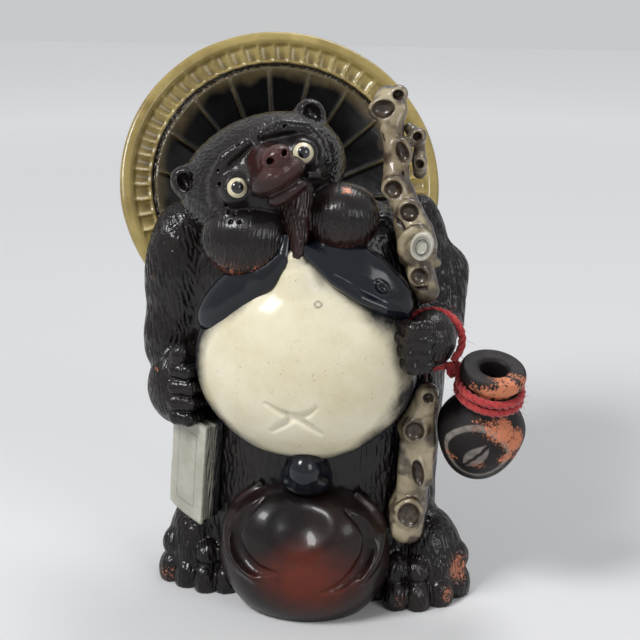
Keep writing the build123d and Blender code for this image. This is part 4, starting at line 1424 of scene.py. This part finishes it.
def make_book():
    def cover(p):
        q = bent(p)
        q[..., 1] += COVER_FORWARD
        return box_distance(q, COVER_HALF, 1.0)

    def pages(p):
        q = bent(p)
        return box_distance(q, PAGES_HALF, 1.2) + 0.75 * page_line(q) ** 3

    def page_values(p, normal):
        q = bent(p)
        # Painted shade in the scored page lines and towards the back of the pages.
        return {"dark": np.maximum(page_line(q) ** 1.5, smooth_step(-1, 2, q[:, 1]))}

    def cover_values(p, normal):
        q = from_book(p)
        edge = np.maximum(np.abs(q[:, 0]) / COVER_HALF[0], np.abs(q[:, 2]) / COVER_HALF[2])
        border = np.abs(np.maximum(np.abs(q[:, 0] - 1) - 9, np.abs(q[:, 2]) - 25))
        return {"dark": np.maximum(0.5 * smooth_step(0.93, 1.0, edge), 0.35 * smooth_step(0.9, 0.3, border)),
                "wear": smooth_step(7, 1.5, length(p - CHIP_PLACE))}

    low, high = BOOK_MIDDLE - vec(26, 26, 40), BOOK_MIDDLE + vec(26, 26, 40)
    grey = satin("cover_glaze", ((0.36, 0.35, 0.28), (0.55, 0.54, 0.46)), 0.34, 0.3,
                 "dark", (0.06, 0.058, 0.055), (0.08, 0.07, 0.06), 1.0)
    leaf = satin("page_glaze", ((0.26, 0.25, 0.20), (0.42, 0.40, 0.33)), 0.36, 0.3, "dark", (0.016, 0.015, 0.017))
    smooth_piece("book_cover_clay", "book_cover", cover, low, high, 0.6, grey, "cover_glaze",
                 lambda p: soft_noise(p, 12, 51) * 0.2, cover_values)
    smooth_piece("book_pages_clay", "book_pages", pages, low, high, 0.6, leaf, "page_glaze", None, page_values)


make_book()


# Eyes: a cream dome and a black pupil on it, turned about the eye's own axis

def turned_piece(name, node, body, profile, place, turn, segments, material, slot_name, values=None):
    """A closed turned piece from rows of radius and height, whose ends lie on the axis."""
    rings = profile[1:-1]
    angles = np.arange(segments) * 2 * math.pi / segments
    points = [(0, 0, profile[0][1])]
    for radius, height in rings:
        points.extend(zip(radius * np.cos(angles), radius * np.sin(angles), [height] * segments))
    points.append((0, 0, profile[-1][1]))
    around_ring = [(i, (i + 1) % segments) for i in range(segments)]
    faces = [(0, 1 + j, 1 + i) for i, j in around_ring]
    for near in range(1, 1 + (len(rings) - 1) * segments, segments):
        far = near + segments
        faces += [(near + i, near + j, far + j, far + i) for i, j in around_ring]
    last, end = 1 + (len(rings) - 1) * segments, len(points) - 1
    faces += [(last + i, last + j, end) for i, j in around_ring]
    local = np.array(points, np.float32)
    world = local @ np.asarray(turn, np.float32).T + np.asarray(place, np.float32)
    piece = mesh_piece(name, world, faces, values(local) if values else {})
    settle(piece, body, slot_name, material, node)


EYE_RADIUS = 6.7
PUPIL_RADIUS = 3.7


def arc(radius, base, rise, degrees):
    """Rows of radius and height along a quarter of an oval, from its rim up."""
    return [(radius * math.cos(a), base + rise * math.sin(a)) for a in np.radians(degrees)]


def make_eyes():
    enamel = satin("eye_glaze", ((0.62, 0.54, 0.34), (0.74, 0.68, 0.50)), 0.14, 1.0, "ring", (0.02, 0.016, 0.014))
    black = satin("pupil_glaze", ((0.004, 0.004, 0.005), (0.010, 0.010, 0.012)), 0.06, 1.0)
    face_out = HEAD_TURN @ turn_matrix(90, 0, 0)
    foot = [(EYE_RADIUS * math.sin(a), -4.0 + 0.4 * (1 - math.cos(a))) for a in np.radians((30, 70))]
    dome = [(0, -4.0), *foot, (EYE_RADIUS, -2.0), *arc(EYE_RADIUS, -2.0, 6.4, range(6, 61, 6)),
            (2.9, 3.3), (1.5, 3.4), (0, 3.4)]
    bead = [(0, 2.0), (3.2, 2.2), (PUPIL_RADIUS, 2.8), *arc(PUPIL_RADIUS, 2.8, 2.1, range(10, 81, 10)), (0, 4.9)]
    for side, place in EYES.items():
        turned_piece(side + "_eye_enamel", side + "_eye", "statue", dome, place, face_out, 48, enamel, "eye_glaze",
                     lambda q: {"ring": smooth_step(5.9, 6.6, np.hypot(q[:, 0], q[:, 1]))})
        turned_piece(side + "_pupil_enamel", side + "_pupil", "statue", bead, place, face_out, 40, black,
                     "pupil_glaze")


make_eyes()


# The flask, turned round its own axis; heights run from the middle of its neck

FLASK_RADIUS = 26.5
FLASK_NECK = 16.5
FLASK_LIP = 19.6
FLASK_MOUTH = 8.0
FLASK_FOOT = 13.0
FOOT_HEIGHT = -58.0
BELLY_HEIGHT = -26.0
COLLAR_REACH = 8.4
TOP_HEIGHT = 17.0


def bent_run(start, start_way, end, end_way, count):
    """Points on a smooth run from a start to an end with the ways it leaves and arrives."""
    start, start_way, end, end_way = (np.array(v, float) for v in (start, start_way, end, end_way))
    points = []
    for t in np.linspace(0, 1, count, endpoint=False):
        a, b = 2 * t ** 3 - 3 * t ** 2 + 1, t ** 3 - 2 * t ** 2 + t
        points.append(a * start + b * start_way + (1 - a) * end + (t ** 3 - t ** 2) * end_way)
    return [tuple(p) for p in points]


def flask_profile():
    outer = [(0, FOOT_HEIGHT + 1.0), (8, FOOT_HEIGHT + 0.6), (10.5, FOOT_HEIGHT)]
    outer += bent_run((FLASK_FOOT, FOOT_HEIGHT), (22, 16), (FLASK_RADIUS, BELLY_HEIGHT), (0, 34), 44)
    outer += bent_run((FLASK_RADIUS, BELLY_HEIGHT), (0, 18), (FLASK_NECK, -COLLAR_REACH), (-9, 12), 26)
    outer += [(FLASK_NECK, h) for h in np.linspace(-COLLAR_REACH, COLLAR_REACH, 14, endpoint=False)]
    middle = (COLLAR_REACH + TOP_HEIGHT) / 2
    reach = (TOP_HEIGHT - COLLAR_REACH) / 2
    outer += [(FLASK_NECK + (FLASK_LIP - FLASK_NECK) * math.cos(a) ** 0.6, middle + reach * math.sin(a))
              for a in np.radians(range(-84, 85, 7))]
    outer += [(r, TOP_HEIGHT - 0.3) for r in (15, 13, 11)]
    outer += [(FLASK_MOUTH + 1.3, TOP_HEIGHT - 0.8), (FLASK_MOUTH + 0.3, TOP_HEIGHT - 1.8)]
    outer += [(FLASK_MOUTH + 0.1, h) for h in np.linspace(TOP_HEIGHT - 3, -COLLAR_REACH, 8)]
    outer += bent_run((FLASK_MOUTH, -COLLAR_REACH - 1), (10, -10), (FLASK_RADIUS - 4, BELLY_HEIGHT), (0, -16), 10)[1:]
    outer += bent_run((FLASK_RADIUS - 4, BELLY_HEIGHT), (0, -30), (9, FOOT_HEIGHT + 4), (-16, -8), 12)
    outer += [(5, FOOT_HEIGHT + 4), (0, FOOT_HEIGHT + 4)]
    return outer


# The flask's leaf and ring, and its chips: angle in degrees, height, radius and how much of the clay shows
PAINT_FRONT = math.radians(-92)
PAINT_HEIGHT = -31.0
LEAF_LEAN = math.radians(32)
CHIPS = (
    (-72, 11.5, 8, 0.95), (-96, 9.5, 8, 0.8), (-52, 12.5, 8, 0.95), (-120, 10, 6, 0.5), (-52, -15, 9, 0.85),
    (-36, -22, 9, 0.85), (-74, -13, 7, 0.6), (-48, -32, 6, 0.7), (-100, -12, 6, 0.4), (-86, -37, 5, 0.45),
    (-20, 13, 7, 0.6), (-20, -34, 8, 0.5), (-128, -38, 5, 0.5), (60, -20, 9, 0.5),
)


def turned_from(turn, angle):
    """Angles measured from another one, from -180 to 180 degrees."""
    return (turn - angle + math.pi) % (2 * math.pi) - math.pi


def flask_values(q):
    """Wear on the lip and shoulder, and a plain leaf in a brushed ring on the front."""
    turn = np.arctan2(q[:, 1], q[:, 0])
    away = turned_from(turn, PAINT_FRONT)
    across, up = away * FLASK_RADIUS * 0.96, q[:, 2] - PAINT_HEIGHT
    outer = np.hypot(q[:, 0], q[:, 1]) > FLASK_MOUTH + 1
    shown = outer & (np.abs(away) < 1.4) & (q[:, 2] < -COLLAR_REACH)
    wobble = 0.9 * soft_noise(q, 7, 60)
    ring = np.abs(np.sqrt((across / 20.0) ** 2 + (up / 17.5) ** 2) - 1) * 17 + wobble * 0.3
    along = across * math.sin(LEAF_LEAN) + up * math.cos(LEAF_LEAN)
    beside = across * math.cos(LEAF_LEAN) - up * math.sin(LEAF_LEAN)
    leaf = np.abs(beside) - 5.4 * np.clip(1 - (along / 12.0) ** 2, 0, 1) + wobble * 0.3
    vein = np.abs(beside + 0.25 * np.sin(along)) - 0.7
    paint = np.maximum(smooth_step(1.9, 1.1, ring), smooth_step(0.5, -0.4, leaf) * smooth_step(0, 0.7, vein))
    brush = 0.72 + 0.28 * soft_noise(q * vec(1, 1, 3), 5, 61)
    wear = np.zeros(len(q), np.float32)
    for angle, height, radius, much in CHIPS:
        off = turned_from(turn, math.radians(angle))
        near = np.sqrt((off * 22) ** 2 + (q[:, 2] - height) ** 2) / radius
        wear = np.maximum(wear, much * smooth_step(1.3, 0.3, near))
    return {"paint": paint * brush * shown, "wear": wear * outer}


matt_clay = satin("matt_clay", ((0.006, 0.005, 0.006), (0.014, 0.010, 0.010)), 0.5, 0.0,
                  "paint", (0.24, 0.215, 0.19), None, 1.0, 0.0012)
turned_piece("flask_clay", "flask", "flask", flask_profile(), np.array(NECK_PLACE) / MM,
             np.array(FLASK_TURN.to_3x3()), 260, matt_clay, "matt_clay", flask_values)


# The background, the lamps and the floor


def background_share(g):
    """1 for the rays that show the background: those of the camera, of mirrors and of glass."""
    camera, glossy, through = (g.node("LightPath", f"Is {ray} Ray") for ray in ("Camera", "Glossy", "Transmission"))
    return g.maths("MAXIMUM", camera, g.maths("MAXIMUM", glossy, through))


# Lamps: name, place, size in metres and power in watts
LAMPS = (
    ("key", (-0.75, -0.75, 1.35), 0.45, 19),
    ("fill", (1.2, -1.0, 0.9), 0.7, 7),
    ("top", (0.25, 0.55, 1.5), 0.6, 9),
)
LAMP_AIM = Vector((0, 0, 0.16))
BACKDROP_COLOUR = (0.93, 0.94, 0.96)
LIT_STRENGTH, SEEN_STRENGTH = 0.25, 0.62
FLOOR_COLOUR = (0.70, 0.705, 0.715)
FLOOR_REACH = 3.0
FLOOR_LIFT = 0.40


def make_stage():
    for name, place, size, power in LAMPS:
        data = bpy.data.lights.new(name, "AREA")
        data.size, data.energy = size, power
        lamp = bpy.data.objects.new(name, data)
        bpy.context.collection.objects.link(lamp)
        lamp.location = place
        lamp.rotation_euler = (LAMP_AIM - Vector(place)).to_track_quat("-Z", "Y").to_euler()
    world = Shader(bpy.data.worlds.new("world"))
    bpy.context.scene.world = world.owner
    strength = world.ramp(background_share(world), 0, 1, LIT_STRENGTH, SEEN_STRENGTH)
    world.put(world.nodes["Background"], {"Color": BACKDROP_COLOUR, "Strength": strength})
    bpy.context.scene.view_settings.view_transform = "Standard"

    mesh = bpy.data.meshes.new("floor")
    corners = [(x * FLOOR_REACH, y * FLOOR_REACH, 0) for x, y in ((-1, -1), (1, -1), (1, 1), (-1, 1))]
    mesh.from_pydata(corners, [], [(0, 1, 2, 3)])
    floor = bpy.data.objects.new("floor", mesh)
    bpy.context.collection.objects.link(floor)
    g = shader("pale_floor")
    away = g.node("VectorMath", "Value", {0: g.place()}, operation="LENGTH")
    lift = g.times(g.ramp(away, 0.35, 1.8, 0, FLOOR_LIFT), background_share(g))
    g.put(g.nodes["Principled BSDF"], {"Base Color": FLOOR_COLOUR, "Roughness": 0.8,
                                       "Emission Color": BACKDROP_COLOUR, "Emission Strength": lift})
    mesh.materials.append(g.owner)


make_stage()
